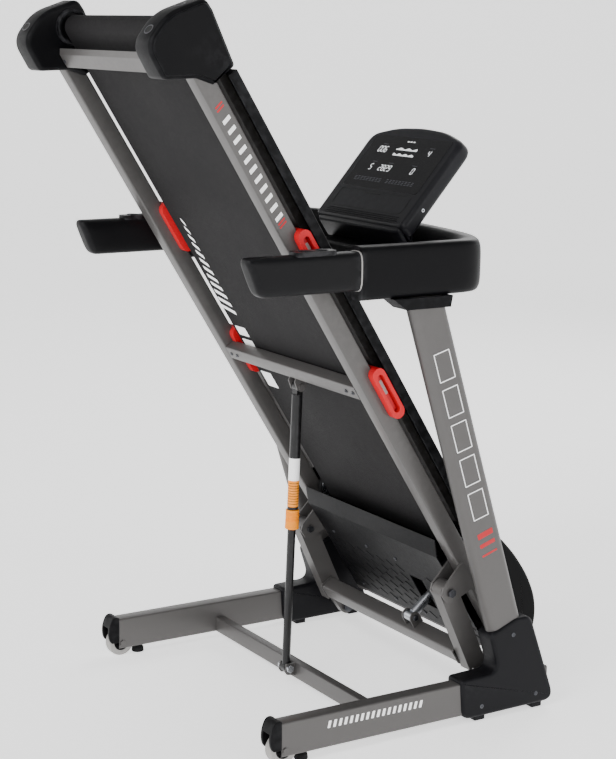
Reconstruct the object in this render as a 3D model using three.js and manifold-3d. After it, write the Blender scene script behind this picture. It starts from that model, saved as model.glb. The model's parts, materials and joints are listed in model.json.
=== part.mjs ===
// Folding motorised treadmill, deck standing up in its stored position.
// Millimetres, +Z up, +X to the runner's right, +Y towards the console.
// The origin is on the floor, under the middle of the whole object.
import * as THREE from 'three';
import { mergeVertices } from 'three/addons/utils/BufferGeometryUtils.js';
import Module from 'manifold-3d';

const wasm = await Module();
wasm.setup();

// ---------------------------------------------------------------- driving dimensions
const ORIGIN_Y = 252.33;        // from the rear end of the rails to the origin
const GAP = 0.3;                // play between pieces that touch

const BASE_WIDTH = 850;         // over both floor rails
const RAIL = { width: 40, height: 80, bottom: 20, length: 742, wall: 2 };
const REAR_BAR = { y: 284, depth: 25, height: 40 };
const FRONT_BAR = { y: 700, depth: 40, height: 40 };
const WHEEL = { radius: 35, width: 26, y: 10 };
const FOOT = { radius: 16, y: 62 };

const LEAN = 0.319;             // how far an upright goes back for each unit of height
const UPRIGHT = { length: 97, width: 40, wall: 2.5, yAtRail: 655, top: 1019 };
const BAR_BOTTOM = 1020;        // underside of the handlebar moulding
const BAR_TOP = 1138;
const BAR_WIDTH = 50;
const GRIP = { bottom: 1042, top: 1129, front: 186 };

const CONSOLE = { halfWidth: 190, tilt: 49, length: 262, crown: 30, thickness: 42, y: 449, z: 1141 };

const DECK_ANGLE = 58.118;      // running surface above the horizontal when stored
const DECK_Y = 698.9;           // the front end of the deck tubes' undersides
const DECK_Z = 92;
const DECK_WIDTH = 669;         // over both deck tubes
const DECK_TUBE = { width: 40, height: 42.6, length: 1700, wall: 2 };
const ROLLER_RADIUS = 25;
const ROLLER_N = 60;            // roller centres above the deck tubes' undersides
const REAR_ROLLER_S = 1725;     // measured along the deck from its front end
const FRONT_ROLLER_S = 335;
const BELT = { width: 510, thickness: 2 };
const BOARD = { width: 600, waist: 540, bottom: 66, top: 84.7, start: 382, step: 1608, end: 1688 };
const FOOT_RAIL = { bottom: 67.5, top: 92.3, inner: 262, outer: 344.6, start: 388, end: 1612, wall: 3.5 };
const DAMPER_S = [800, 1175];   // middles of the cushion blocks
const MID_BAR_S = 800;

const LIFT_PIVOT = { s: 270, n: -52 };     // lift arms to deck
const FOLD_PIVOT = { y: 645, z: 55 };      // lift arms to base
const LIFT_ARM = { inner: 297, outer: 333, depth: 50, slope: 7 };
const LIFT_BAR = { s: 87, n: -83, size: 40 };
const ACTUATOR = { x: 105, top: { s: 155, n: 112 }, lug: { s: 128, n: -77 } };

const STRUT_TOP = { s: 775, n: 2 };
const STRUT_FOOT = { y: 267, z: 48 };
const STRUT = { outerRadius: 13, innerRadius: 10, outerLength: 328, innerLength: 376, headGap: 20 };

const MOTOR = { s: 130, n: 78, radius: 48 };
const PULLEY_X = -278;

// ---------------------------------------------------------------- materials
const finish = (color, roughness, metalness) =>
  new THREE.MeshStandardMaterial({ color, roughness, metalness });
const FRAME_PAINT = finish(0x77726f, 0.45, 0.35);
const BLACK_PLASTIC = finish(0x232328, 0.45, 0);
const GLOSS_BLACK = finish(0x17171b, 0.12, 0);
const BLACK_PAINT = finish(0x1d1d20, 0.4, 0.2);
const RUBBER = finish(0x1b1b1c, 0.8, 0);
const BELT_RUBBER = finish(0x3a3a3c, 0.75, 0);
const WOOD_BOARD = finish(0x4a3b30, 0.6, 0);
const RED_RUBBER = finish(0xd9434a, 0.5, 0);
const ORANGE_PLASTIC = finish(0xf3b45a, 0.45, 0);
const GREY_TREAD = finish(0xa9a7a4, 0.65, 0);
const BRIGHT_STEEL = finish(0xb9bcc0, 0.3, 0.9);
const DARK_STEEL = finish(0x3a3b3e, 0.4, 0.8);

// ---------------------------------------------------------------- shapes
const AXES = {
  x: new THREE.Vector3(1, 0, 0),
  y: new THREE.Vector3(0, 1, 0),
  z: new THREE.Vector3(0, 0, 1),
};
const rad = (degrees) => THREE.MathUtils.degToRad(degrees);

function outline(points) {
  return new THREE.Shape(points.map(([a, b]) => new THREE.Vector2(a, b)));
}

// A rectangle a0..a1 by b0..b1 with round corners.
function roundRect(a0, a1, b0, b1, radius) {
  const shape = new THREE.Shape();
  shape.absarc(a1 - radius, b0 + radius, radius, -Math.PI / 2, 0);
  shape.absarc(a1 - radius, b1 - radius, radius, 0, Math.PI / 2);
  shape.absarc(a0 + radius, b1 - radius, radius, Math.PI / 2, Math.PI);
  shape.absarc(a0 + radius, b0 + radius, radius, Math.PI, 1.5 * Math.PI);
  return shape;
}

// The outer line round two circles: the path of a belt, a link's side, a slot.
function twoCircles(a0, b0, r0, a1, b1, r1) {
  const along = Math.atan2(b1 - b0, a1 - a0);
  const spread = Math.acos((r0 - r1) / Math.hypot(a1 - a0, b1 - b0));
  const shape = new THREE.Shape();
  shape.absarc(a1, b1, r1, along - spread, along + spread, false);
  shape.absarc(a0, b0, r0, along + spread, along - spread + 2 * Math.PI, false);
  return shape;
}

// Extrusions of a plane outline along one axis: (y, z) along X, (x, z) along Y, (x, y) along Z.
function alongX(shape, x0, x1, curveSegments = 4) {
  const geometry = new THREE.ExtrudeGeometry(shape, { depth: x1 - x0, bevelEnabled: false, curveSegments });
  geometry.applyMatrix4(new THREE.Matrix4().makeBasis(AXES.y, AXES.z, AXES.x));
  return geometry.translate(x0, 0, 0);
}

function alongY(shape, y0, y1, curveSegments = 4) {
  const geometry = new THREE.ExtrudeGeometry(shape, { depth: y1 - y0, bevelEnabled: false, curveSegments });
  return geometry.rotateX(Math.PI / 2).translate(0, y1, 0);
}

function alongZ(shape, z0, z1, curveSegments = 4) {
  const geometry = new THREE.ExtrudeGeometry(shape, { depth: z1 - z0, bevelEnabled: false, curveSegments });
  return geometry.translate(0, 0, z0);
}

function block(x0, x1, y0, y1, z0, z1) {
  const geometry = new THREE.BoxGeometry(x1 - x0, y1 - y0, z1 - z0);
  return geometry.translate((x0 + x1) / 2, (y0 + y1) / 2, (z0 + z1) / 2);
}

function discX(radius, x0, x1, y = 0, z = 0, sides = 20) {
  const geometry = new THREE.CylinderGeometry(radius, radius, x1 - x0, sides);
  return geometry.rotateZ(Math.PI / 2).translate((x0 + x1) / 2, y, z);
}

function discZ(radius, z0, z1, x = 0, y = 0, sides = 20) {
  const geometry = new THREE.CylinderGeometry(radius, radius, z1 - z0, sides);
  return geometry.rotateX(Math.PI / 2).translate(x, y, (z0 + z1) / 2);
}

// ---------------------------------------------------------------- joins and cuts
function solid(geometry) {
  const bare = geometry.clone();
  bare.deleteAttribute('normal');
  bare.deleteAttribute('uv');
  const merged = mergeVertices(bare, 1e-4);
  return new wasm.Manifold(new wasm.Mesh({
    numProp: 3,
    vertProperties: new Float32Array(merged.attributes.position.array),
    triVerts: new Uint32Array(merged.index.array),
  }));
}

function geometryOf(manifold) {
  const mesh = manifold.getMesh();
  const geometry = new THREE.BufferGeometry();
  geometry.setAttribute('position', new THREE.BufferAttribute(mesh.vertProperties, 3));
  geometry.setIndex(new THREE.BufferAttribute(mesh.triVerts, 1));
  const faceted = geometry.toNonIndexed();
  faceted.computeVertexNormals();
  return faceted;
}

const join = (...pieces) => geometryOf(pieces.map(solid).reduce((whole, piece) => whole.add(piece)));
const cut = (body, ...tools) =>
  geometryOf(tools.map(solid).reduce((whole, tool) => whole.subtract(tool), solid(body)));

// A piece and its mirror image across the middle plane have the same outline in (y, z).
const mirrored = (side, x0, x1) => (side > 0 ? [x0, x1] : [-x1, -x0]);

function add(group, name, geometry, material) {
  const mesh = new THREE.Mesh(geometry, material);
  mesh.name = name;
  group.add(mesh);
  return mesh;
}

const SIDES = [['right', 1], ['left', -1]];

// ---------------------------------------------------------------- base
const RAIL_OUTER = BASE_WIDTH / 2;
const RAIL_INNER = RAIL_OUTER - RAIL.width;
const RAIL_TOP = RAIL.bottom + RAIL.height;
const uprightY = (z) => UPRIGHT.yAtRail - LEAN * (z - RAIL_TOP);

// A flat-oval post, cut level at both ends, leaning back as it rises.
function leaningPost(side, grow, z0, z1) {
  const middle = side * (RAIL_OUTER - UPRIGHT.width / 2);
  const halfLength = UPRIGHT.length / 2 + grow;
  const halfWidth = UPRIGHT.width / 2 + grow;
  const shape = twoCircles(0, -halfLength + halfWidth, halfWidth, 0, halfLength - halfWidth, halfWidth);
  const geometry = alongZ(shape, 0, z1 - z0, 10);
  const shear = new THREE.Matrix4().set(1, 0, 0, 0, 0, 1, -LEAN, 0, 0, 0, 1, 0, 0, 0, 0, 1);
  return geometry.applyMatrix4(shear).translate(middle, uprightY(z0), z0);
}

function railTube(side) {
  const [x0, x1] = mirrored(side, RAIL_INNER, RAIL_OUTER);
  const { wall } = RAIL;
  const tube = roundRect(x0, x1, RAIL.bottom, RAIL_TOP, 5);
  tube.holes.push(roundRect(x0 + wall, x1 - wall, RAIL.bottom + wall, RAIL_TOP - wall, 3));
  const clearance = WHEEL.radius + 6;
  const wheelSlot = block(x0 + 4, x1 - 4, -1, WHEEL.y + clearance, RAIL.bottom - 1, RAIL.bottom + 8);
  const axle = discX(5, x0 - 1.5, x1 + 1.5, WHEEL.y, WHEEL.radius);
  const heads = SIDES.map(([, end]) => {
    const face = end > 0 ? x1 : x0 - 3;
    return discX(8, face, face + 3, WHEEL.y, WHEEL.radius, 6);
  });
  return join(cut(alongY(tube, 0, RAIL.length, 2), wheelSlot), axle, ...heads);
}

// The moulding on the rear end of a rail: a rounded nose with a slot for the wheel.
function railEndCap(side) {
  const [x0, x1] = mirrored(side, RAIL_INNER - 2, RAIL_OUTER + 2);
  const nose = new THREE.Shape();
  nose.moveTo(-GAP, 38);
  nose.lineTo(-GAP, 104);
  nose.quadraticCurveTo(-14, 111, -22, 98);
  nose.quadraticCurveTo(-30, 82, -30, 66);
  nose.quadraticCurveTo(-30, 44, -20, 38);
  const slot = block(x0 + 8, x1 - 8, -31, 1, 30, 78);
  return cut(alongX(nose, x0, x1, 6), slot);
}

function transportWheel(side) {
  const middle = side * (RAIL_OUTER - RAIL.width / 2);
  const half = WHEEL.width / 2;
  const bore = 5.3;
  const profile = [[bore, -half], [WHEEL.radius - 4, -half], [WHEEL.radius, -half + 4],
    [WHEEL.radius, half - 4], [WHEEL.radius - 4, half], [bore, half], [bore, -half]];
  const wheel = new THREE.LatheGeometry(profile.map(([r, h]) => new THREE.Vector2(r, h)), 28);
  return wheel.rotateZ(Math.PI / 2).translate(middle, WHEEL.y, WHEEL.radius);
}

function rearFoot(side) {
  const middle = side * (RAIL_OUTER - RAIL.width / 2);
  const height = RAIL.bottom - GAP;
  const profile = [[0, 0], [FOOT.radius - 1, 0], [FOOT.radius, 2], [FOOT.radius - 1, 12], [8, height], [0, height]];
  const foot = new THREE.LatheGeometry(profile.map(([r, h]) => new THREE.Vector2(r, h)), 20);
  return foot.rotateX(Math.PI / 2).translate(middle, FOOT.y, 0);
}

// The two-cheeked bracket behind the rear crossbar carries the strut's foot.
function rearCrossbar() {
  const reach = RAIL_INNER - GAP;
  const { y, depth, height } = REAR_BAR;
  const tube = roundRect(y, y + depth, RAIL.bottom, RAIL.bottom + height, 3);
  tube.holes.push(roundRect(y + 2, y + depth - 2, RAIL.bottom + 2, RAIL.bottom + height - 2, 1.5));
  const cheek = outline([[y + 1, 28], [y + 1, 60], [STRUT_FOOT.y - 8, 60], [STRUT_FOOT.y - 12, 40],
    [STRUT_FOOT.y - 6, 32]]);
  const bore = discX(6.4, -30, 30, STRUT_FOOT.y, STRUT_FOOT.z);
  const cheeks = SIDES.map(([, side]) => cut(alongX(cheek, ...mirrored(side, 12, 16)), bore));
  return join(alongX(tube, -reach, reach, 2), ...cheeks);
}

function frontCrossbar() {
  const reach = RAIL_INNER - GAP;
  const { y, depth, height } = FRONT_BAR;
  const tube = roundRect(y, y + depth, RAIL.bottom, RAIL.bottom + height, 3);
  tube.holes.push(roundRect(y + 2, y + depth - 2, RAIL.bottom + 2, RAIL.bottom + height - 2, 1.5));
  return alongX(tube, -reach, reach, 2);
}

// The moulded cover over the joint of rail and upright, standing on its own two pads.
function baseCover(side) {
  const [x0, x1] = mirrored(side, RAIL_INNER - 12, RAIL_OUTER + 6);
  const shape = new THREE.Shape();
  shape.moveTo(482, 104);
  shape.lineTo(489, 63);
  shape.quadraticCurveTo(496, 13, 526, 11);
  shape.lineTo(735, 14);
  shape.quadraticCurveTo(763, 18, 757, 50);
  shape.lineTo(690, 210);
  shape.quadraticCurveTo(682, 234, 650, 235);
  shape.quadraticCurveTo(600, 224, 583, 213);
  shape.quadraticCurveTo(566, 205, 577, 178);
  shape.quadraticCurveTo(597, 122, 582, 117);
  shape.quadraticCurveTo(568, 111, 540, 111);
  const [r0, r1] = mirrored(side, RAIL_INNER - GAP, RAIL_OUTER + GAP);
  const rail = block(r0, r1, 400, RAIL.length + GAP, RAIL.bottom - GAP, RAIL_TOP + GAP);
  const pads = [545, 715].map((y) => block(x0 + 8, x1 - 8, y - 15, y + 15, 0, 16));
  const [skin0, skin1] = mirrored(side, RAIL_INNER - 20, RAIL_INNER);
  const barHole = block(skin0, skin1, FRONT_BAR.y - GAP, FRONT_BAR.y + FRONT_BAR.depth + GAP,
    RAIL.bottom - GAP, RAIL.bottom + FRONT_BAR.height + GAP);
  const pivotHole = discX(10.6, skin0, skin1, FOLD_PIVOT.y, FOLD_PIVOT.z);
  const shell = join(alongX(shape, x0, x1, 6), ...pads);
  return cut(shell, rail, leaningPost(side, 0.4, RAIL_TOP - 5, 300), barHole, pivotHole);
}

function collar(side) {
  const [x0, x1] = mirrored(side, RAIL_INNER - 7, RAIL_OUTER + 7);
  const shape = outline([[302, 994], [268, 1019.6], [426, 1019.6], [421, 994]]);
  return cut(alongX(shape, x0, x1), leaningPost(side, 0.4, 980, 1030));
}

function upright(side) {
  const hollow = leaningPost(side, -UPRIGHT.wall, RAIL_TOP - 10, UPRIGHT.top + 10);
  return cut(leaningPost(side, 0, RAIL_TOP + GAP, UPRIGHT.top), hollow);
}

// ---------------------------------------------------------------- handlebars and console
const BAR_OUTER = 430;
const BAR_NOSE_Y = 600;         // front of the cross part on the middle plane
const NOSE_SAG = 0.00035;       // how fast the front line falls back from the middle
const CORNER_RADIUS = 68;

// Plan outline of the U-shaped moulding: two straight sides and a bowed front.
function barPlan(inset) {
  const side = BAR_OUTER - inset;
  const radius = CORNER_RADIUS - inset;
  const cornerY = 538 - CORNER_RADIUS;
  const frontY = (x) => BAR_NOSE_Y - inset - NOSE_SAG * x * x;
  const points = [];
  for (let step = 0; step <= 6; step += 1) {
    const turn = (step / 6) * rad(75);
    points.push([side - radius + radius * Math.cos(turn), cornerY + radius * Math.sin(turn)]);
  }
  for (const x of [340, 270, 180, 90, 0]) {
    points.push([x - inset * 0.5, frontY(x)]);
  }
  points[points.length - 1][0] = 0;
  return points;
}

function handleFrame() {
  const outer = barPlan(0);
  const inner = barPlan(BAR_WIDTH);
  const start = GRIP.front + GAP;
  const mirror = (points) => points.slice(0, -1).reverse().map(([x, y]) => [-x, y]);
  const ring = [[BAR_OUTER, start], ...outer, ...mirror(outer), [-BAR_OUTER, start],
    [-BAR_OUTER + BAR_WIDTH, start], ...mirror(inner).reverse(), ...[...inner].reverse(),
    [BAR_OUTER - BAR_WIDTH, start]];
  const moulding = alongZ(outline(ring), BAR_BOTTOM, BAR_TOP);
  const pedestal = block(-160, 160, 418, 560, BAR_BOTTOM + 18, CONSOLE.z - 53.5);
  return join(moulding, pedestal);
}

// The rear stretch of a handlebar with its leaning end, and the pod for its rocker key on top.
function grip(side) {
  const [x0, x1] = mirrored(side, BAR_OUTER - BAR_WIDTH, BAR_OUTER);
  const { bottom, top, front } = GRIP;
  const shape = new THREE.Shape();
  shape.moveTo(front, bottom);
  shape.lineTo(front, top);
  shape.lineTo(-78, top);
  shape.quadraticCurveTo(-100, top, -98, top - 20);
  shape.lineTo(-68, bottom + 12);
  shape.quadraticCurveTo(-62, bottom, -48, bottom);
  const body = alongX(shape, x0, x1, 5);
  const pod = block(x0 + 6, x1 - 6, 20, 130, top - 2, top + 5);
  const well = block(x0 + 13, x1 - 13, 42.5, 107.5, top - 6, top + 6);
  return cut(join(body, pod), well);
}

function rockerKey(side) {
  const [x0, x1] = mirrored(side, BAR_OUTER - BAR_WIDTH + 14, BAR_OUTER - 14);
  const z = GRIP.top;
  const shape = outline([[44, z - 1], [106, z - 1], [106, z + 7], [90, z + 8], [75, z + 6], [60, z + 8], [44, z + 7]]);
  return alongX(shape, x0, x1);
}

// Side section of the console: a leaning panel with a chin that drops on to the pedestal.
function consoleSection() {
  const { y, z, length, thickness } = CONSOLE;
  const along = [Math.cos(rad(CONSOLE.tilt)), Math.sin(rad(CONSOLE.tilt))];
  const at = (distance, depth) => [y + along[0] * distance + along[1] * depth, z + along[1] * distance - along[0] * depth];
  return outline([at(0, 0), at(length + CONSOLE.crown, 0), at(length + CONSOLE.crown, thickness), at(20, thickness),
    [498, z - 53], [480, z - 53]]);
}

function consoleHousing() {
  const { halfWidth, length, crown, tilt, y, z } = CONSOLE;
  const plan = new THREE.Shape();
  plan.moveTo(-halfWidth, -90);
  plan.lineTo(halfWidth, -90);
  plan.lineTo(halfWidth, length - 30);
  plan.quadraticCurveTo(halfWidth, length, halfWidth - 34, length + 6);
  plan.quadraticCurveTo(0, length + 2 * crown - 6, -halfWidth + 34, length + 6);
  plan.quadraticCurveTo(-halfWidth, length, -halfWidth, length - 30);
  const lean = new THREE.Matrix4().makeRotationX(rad(tilt)).setPosition(0, y, z);
  const face = alongZ(plan, -150, 10, 8).applyMatrix4(lean);
  const slab = alongX(consoleSection(), -halfWidth - 5, halfWidth + 5);
  const trimmed = geometryOf(solid(slab).intersect(solid(face)));
  const screenWell = block(-160, 160, 95.7, 268.3, -3, 5).applyMatrix4(lean);
  const barLine = barPlan(BAR_WIDTH + GAP).slice(-4);
  const mirrorLine = barLine.slice(0, -1).reverse().map(([px, py]) => [-px, py]);
  const barShadow = outline([...barLine, ...mirrorLine, [-300, 600], [300, 600]]);
  return cut(trimmed, screenWell, alongZ(barShadow, BAR_BOTTOM, BAR_TOP + GAP));
}

function displayPanel() {
  const { tilt, y, z } = CONSOLE;
  const lean = new THREE.Matrix4().makeRotationX(rad(tilt)).setPosition(0, y, z);
  return block(-159.7, 159.7, 96, 268, -2.7, 0.6).applyMatrix4(lean);
}

// ---------------------------------------------------------------- lift frame
// Everything on the deck is drawn in the deck's own frame: X across, Y towards its front end,
// Z out of the running surface. A distance s back along the deck is Y = -s.
function deckGroup() {
  const group = new THREE.Group();
  group.position.set(0, DECK_Y, DECK_Z);
  group.rotation.x = -rad(DECK_ANGLE);
  return group;
}

// A base point (y, z) in the deck's frame as [Y, Z].
function inDeckFrame({ y, z }) {
  const angle = rad(DECK_ANGLE);
  const [dy, dz] = [y - DECK_Y, z - DECK_Z];
  return [dy * Math.cos(angle) - dz * Math.sin(angle), dy * Math.sin(angle) + dz * Math.cos(angle)];
}

const armN = (s) => LIFT_PIVOT.n - Math.tan(rad(LIFT_ARM.slope)) * (LIFT_PIVOT.s - s);

// A lift arm: a flat tube with a round end on the deck pivot and a lug to the base pivot.
function liftArm(side) {
  const [x0, x1] = mirrored(side, LIFT_ARM.inner, LIFT_ARM.outer);
  const half = LIFT_ARM.depth / 2;
  const foot = 58;
  const arm = new THREE.Shape();
  arm.absarc(-LIFT_PIVOT.s, LIFT_PIVOT.n, half, rad(83), rad(263));
  arm.lineTo(-foot, armN(foot) - half);
  arm.lineTo(-foot, armN(foot) + half);
  const [py, pn] = inDeckFrame(FOLD_PIVOT);
  const lug = twoCircles(-88, armN(88), 17, py, pn, 20);
  const [l0, l1] = mirrored(side, LIFT_ARM.inner + 8, LIFT_ARM.outer - 8);
  const body = join(alongX(arm, x0, x1, 8), alongX(lug, l0, l1, 8));
  const upperBore = discX(6.3, x0 - 1, x1 + 1, -LIFT_PIVOT.s, LIFT_PIVOT.n);
  const lowerBore = discX(10.3, x0 - 1, x1 + 1, py, pn);
  return cut(body, upperBore, lowerBore);
}

// The tube between the arms' lower ends, with the two-cheeked lug for the incline actuator.
function liftCrossTube() {
  const half = LIFT_BAR.size / 2;
  const reach = LIFT_ARM.inner - GAP;
  const [y, n] = [-LIFT_BAR.s, LIFT_BAR.n];
  const tube = roundRect(y - half, y + half, n - half, n + half, 4);
  tube.holes.push(roundRect(y - half + 2, y + half - 2, n - half + 2, n + half - 2, 2));
  const { s, n: lugN } = ACTUATOR.lug;
  const cheek = twoCircles(-s, lugN, 15, -s + 30, lugN, 15);
  const bore = discX(6.3, ACTUATOR.x - 40, ACTUATOR.x + 40, -s, lugN);
  const bar = alongX(tube, -reach, reach, 2);
  const inside = block(-reach, reach, y - half + 1, y + half + 20, n - half - 20, n + half + 20);
  const cheeks = [-19, 15].map((offset) => {
    const plate = alongX(cheek, ACTUATOR.x + offset, ACTUATOR.x + offset + 4, 8);
    return cut(plate, inside, bore);
  });
  return join(bar, ...cheeks);
}

function foldPivotBolt(side) {
  const { y, z } = FOLD_PIVOT;
  const [s0, s1] = mirrored(side, LIFT_ARM.inner + 4, RAIL_INNER - GAP);
  const [h0, h1] = mirrored(side, LIFT_ARM.inner - 2, LIFT_ARM.inner + 4);
  return join(discX(10, s0, s1, y, z, 24), discX(15, h0, h1, y, z, 6));
}

function liftPivotBolt(side) {
  const [s0, s1] = mirrored(side, LIFT_ARM.inner - 9, LIFT_ARM.outer + 9);
  const [h0, h1] = mirrored(side, LIFT_ARM.outer + 9, LIFT_ARM.outer + 15);
  const [n0, n1] = mirrored(side, LIFT_ARM.inner - 15, LIFT_ARM.inner - 9);
  const at = [-LIFT_PIVOT.s, LIFT_PIVOT.n];
  return join(discX(6, s0, s1, ...at), discX(11, h0, h1, ...at, 6), discX(10, n0, n1, ...at, 6));
}

// ---------------------------------------------------------------- deck frame
const TUBE_OUTER = DECK_WIDTH / 2;
const TUBE_INNER = TUBE_OUTER - DECK_TUBE.width;

// A deck tube with the two ears that hold a lift arm and the saddle of the front roller.
function deckTube(side) {
  const { wall, height, length } = DECK_TUBE;
  const [x0, x1] = mirrored(side, TUBE_INNER, TUBE_OUTER);
  const section = roundRect(x0, x1, 0, height, 4);
  section.holes.push(roundRect(x0 + wall, x1 - wall, wall, height - wall, 2.5));
  const tube = alongY(section, -length, 0, 2);
  const ear = outline([[-LIFT_PIVOT.s - 44, 12], [-LIFT_PIVOT.s - 24, -62], [-LIFT_PIVOT.s - 12, -75],
    [-LIFT_PIVOT.s + 12, -75], [-LIFT_PIVOT.s + 24, -62], [-LIFT_PIVOT.s + 34, 12]]);
  const bore = discX(6.3, -400, 400, -LIFT_PIVOT.s, LIFT_PIVOT.n);
  const [o0, o1] = mirrored(side, TUBE_OUTER - 0.5, TUBE_OUTER + 5);
  const [i0, i1] = mirrored(side, TUBE_INNER - 5, TUBE_INNER + 0.5);
  const outerEar = cut(alongX(ear, o0, o1), bore);
  const innerEar = cut(alongX(ear, i0, i1), bore);
  const saddle = block(x0 + 8, x1 - 8, -FRONT_ROLLER_S - 12, -FRONT_ROLLER_S + 12, height - 0.5, ROLLER_N - 8.4);
  return join(tube, outerEar, innerEar, saddle);
}

// The middle crossbar, with the two-cheeked bracket that the strut's head works in.
function midCrossbar() {
  const reach = TUBE_INNER - GAP;
  const s = MID_BAR_S;
  const tube = roundRect(-s - 36, -s, 0, 30, 3);
  tube.holes.push(roundRect(-s - 34, -s - 2, 2, 28, 1.5));
  const cheek = outline([[-s - 1, 1], [-s - 1, 24], [-s + 26, 20], [-s + 36, 10], [-s + 36, -4], [-s + 26, -10], [-s + 4, -6]]);
  const cheeks = SIDES.map(([, side]) => alongX(cheek, ...mirrored(side, 12, 16)));
  const heads = SIDES.map(([, side]) => {
    const [h0, h1] = mirrored(side, 15.5, 20);
    return discX(8, h0, h1, -STRUT_TOP.s, STRUT_TOP.n, 6);
  });
  return join(alongX(tube, -reach, reach, 2), ...cheeks, ...heads);
}

function frontDeckBar() {
  const reach = TUBE_INNER - GAP;
  const tube = roundRect(-42, -2, 0, 40, 3);
  tube.holes.push(roundRect(-40, -4, 2, 38, 1.5));
  return alongX(tube, -reach, reach, 2);
}

// The bent plate across the underside just in front of the rear roller.
function rearDeckPlate() {
  const plate = outline([[-1655, -2], [-1655, 1], [-1689, 1], [-1700, 8], [-1702, 6], [-1690, -2]]);
  return alongX(plate, -271, 271);
}

const footprint = (points) => outline(points.map(([s, n]) => [-s, n]));

function endCap(side) {
  const [x0, x1] = mirrored(side, 272, 347);
  const shape = new THREE.Shape();
  shape.moveTo(-1612, 30);
  shape.lineTo(-1621, 22);
  shape.lineTo(-1645, 4);
  shape.lineTo(-1682, -56);
  shape.quadraticCurveTo(-1686, -63, -1700, -61);
  shape.lineTo(-1740, -60);
  shape.quadraticCurveTo(-1764, -54, -1776, -28);
  shape.quadraticCurveTo(-1797, 14, -1782, 56);
  shape.quadraticCurveTo(-1770, 104, -1742, 108);
  shape.lineTo(-1630, 95);
  shape.quadraticCurveTo(-1619, 94, -1619, 84);
  const body = alongX(shape, x0, x1, 6);
  const [t0, t1] = mirrored(side, TUBE_INNER - GAP, TUBE_OUTER + GAP);
  const pocket = block(t0, t1, -DECK_TUBE.length - GAP, -1500, -GAP, DECK_TUBE.height + GAP);
  const bore = discX(8.4, ...mirrored(side, 271, 331), -REAR_ROLLER_S, ROLLER_N);
  return cut(body, pocket, bore);
}

// A cushion block: a long ring with round ends that straddles a deck tube.
function damper(side, s) {
  const [x0, x1] = mirrored(side, 276, 354);
  const radius = 17;
  const ring = twoCircles(-s - 51, 43.5, radius, -s + 51, 43.5, radius);
  const window = twoCircles(-s - 44, 43.5, 8, -s + 44, 43.5, 8);
  const [t0, t1] = mirrored(side, TUBE_INNER - GAP, TUBE_OUTER + GAP);
  const tube = block(t0, t1, -s - 200, -s + 200, -20, DECK_TUBE.height + GAP);
  const skirt = block(...mirrored(side, 340.8, 345), -s - 200, -s + 200, FOOT_RAIL.bottom - GAP, 70);
  const crossbar = block(...mirrored(side, 200, TUBE_INNER), -MID_BAR_S - 36 - GAP, -MID_BAR_S + GAP, -20, 30 + GAP);
  const [w0, w1] = mirrored(side, TUBE_OUTER, 360);
  return cut(alongX(ring, x0, x1, 5), tube, skirt, crossbar, alongX(window, w0, w1, 5));
}

// The board is narrower at its rear end, where it runs between the end caps.
function deckBoard() {
  const { width, waist, start, step, end, bottom, top } = BOARD;
  const half = [[width / 2, -start], [width / 2, -step], [waist / 2, -step], [waist / 2, -end]];
  const otherHalf = [...half].reverse().map(([x, y]) => [-x, y]);
  return alongZ(outline([...half, ...otherHalf].reverse()), bottom, top);
}

function runningBelt() {
  const half = BELT.width / 2;
  const inside = ROLLER_RADIUS + GAP;
  const loop = (radius) => twoCircles(-REAR_ROLLER_S, ROLLER_N, radius, -FRONT_ROLLER_S, ROLLER_N, radius);
  const band = loop(inside + BELT.thickness);
  band.holes.push(loop(inside));
  return alongX(band, -half, half, 10);
}

// A foot rail is an upside-down channel over the board's edge.
function footRail(side) {
  const { bottom, top, inner, outer, wall, start, end } = FOOT_RAIL;
  const points = [[inner, top - wall], [inner, top - 1], [inner + 1, top], [outer - 3, top], [outer, top - 3],
    [outer, bottom], [outer - wall, bottom], [outer - wall, top - wall]];
  const shape = outline(points.map(([x, z]) => [side * x, z]));
  return alongY(shape, -end, -start);
}

// ---------------------------------------------------------------- drive
function roller(s, pulley) {
  const at = [-s, ROLLER_N];
  const drum = discX(ROLLER_RADIUS, -262, 262, ...at, 28);
  const shaft = discX(8, -326, 326, ...at, 16);
  const wheel = pulley ? [discX(36, PULLEY_X - 9, PULLEY_X + 9, ...at, 28)] : [];
  return join(drum, shaft, ...wheel);
}

function driveMotor() {
  const at = [-MOTOR.s, MOTOR.n];
  const can = discX(MOTOR.radius, -150, 40, ...at, 28);
  const bell = discX(MOTOR.radius - 8, 39, 52, ...at, 28);
  const foot = block(-120, 20, -MOTOR.s - 42, -MOTOR.s + 42, MOTOR.n - MOTOR.radius - 4, MOTOR.n - 30);
  return join(can, bell, foot);
}

function motorPulley() {
  const at = [-MOTOR.s, MOTOR.n];
  const shaft = discX(7, -289, -150 - GAP, ...at, 16);
  const flywheel = discX(44, -190, -165, ...at, 28);
  const pulley = discX(14, PULLEY_X - 9, PULLEY_X + 9, ...at, 20);
  return join(shaft, flywheel, pulley);
}

function driveBelt() {
  const loop = (grow) =>
    twoCircles(-FRONT_ROLLER_S, ROLLER_N, 36 + grow, -MOTOR.s, MOTOR.n, 14 + grow);
  const band = loop(GAP + 3);
  band.holes.push(loop(GAP));
  return alongX(band, PULLEY_X - 8, PULLEY_X + 8, 10);
}

// The black tray under the motor bay, with the slot that the actuator rod works through.
function motorPan() {
  const sheet = outline([[-378, -1], [-372, -5], [-336, -19], [-254, -16], [-42, -16], [-28, -3], [-28, -0.5],
    [-44, -12.5], [-254, -12.5], [-336, -15], [-371, -1]]);
  const slot = block(ACTUATOR.x - 26, ACTUATOR.x + 26, -205, -108, -30, 10);
  return cut(alongX(sheet, -288, 288), slot);
}

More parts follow.
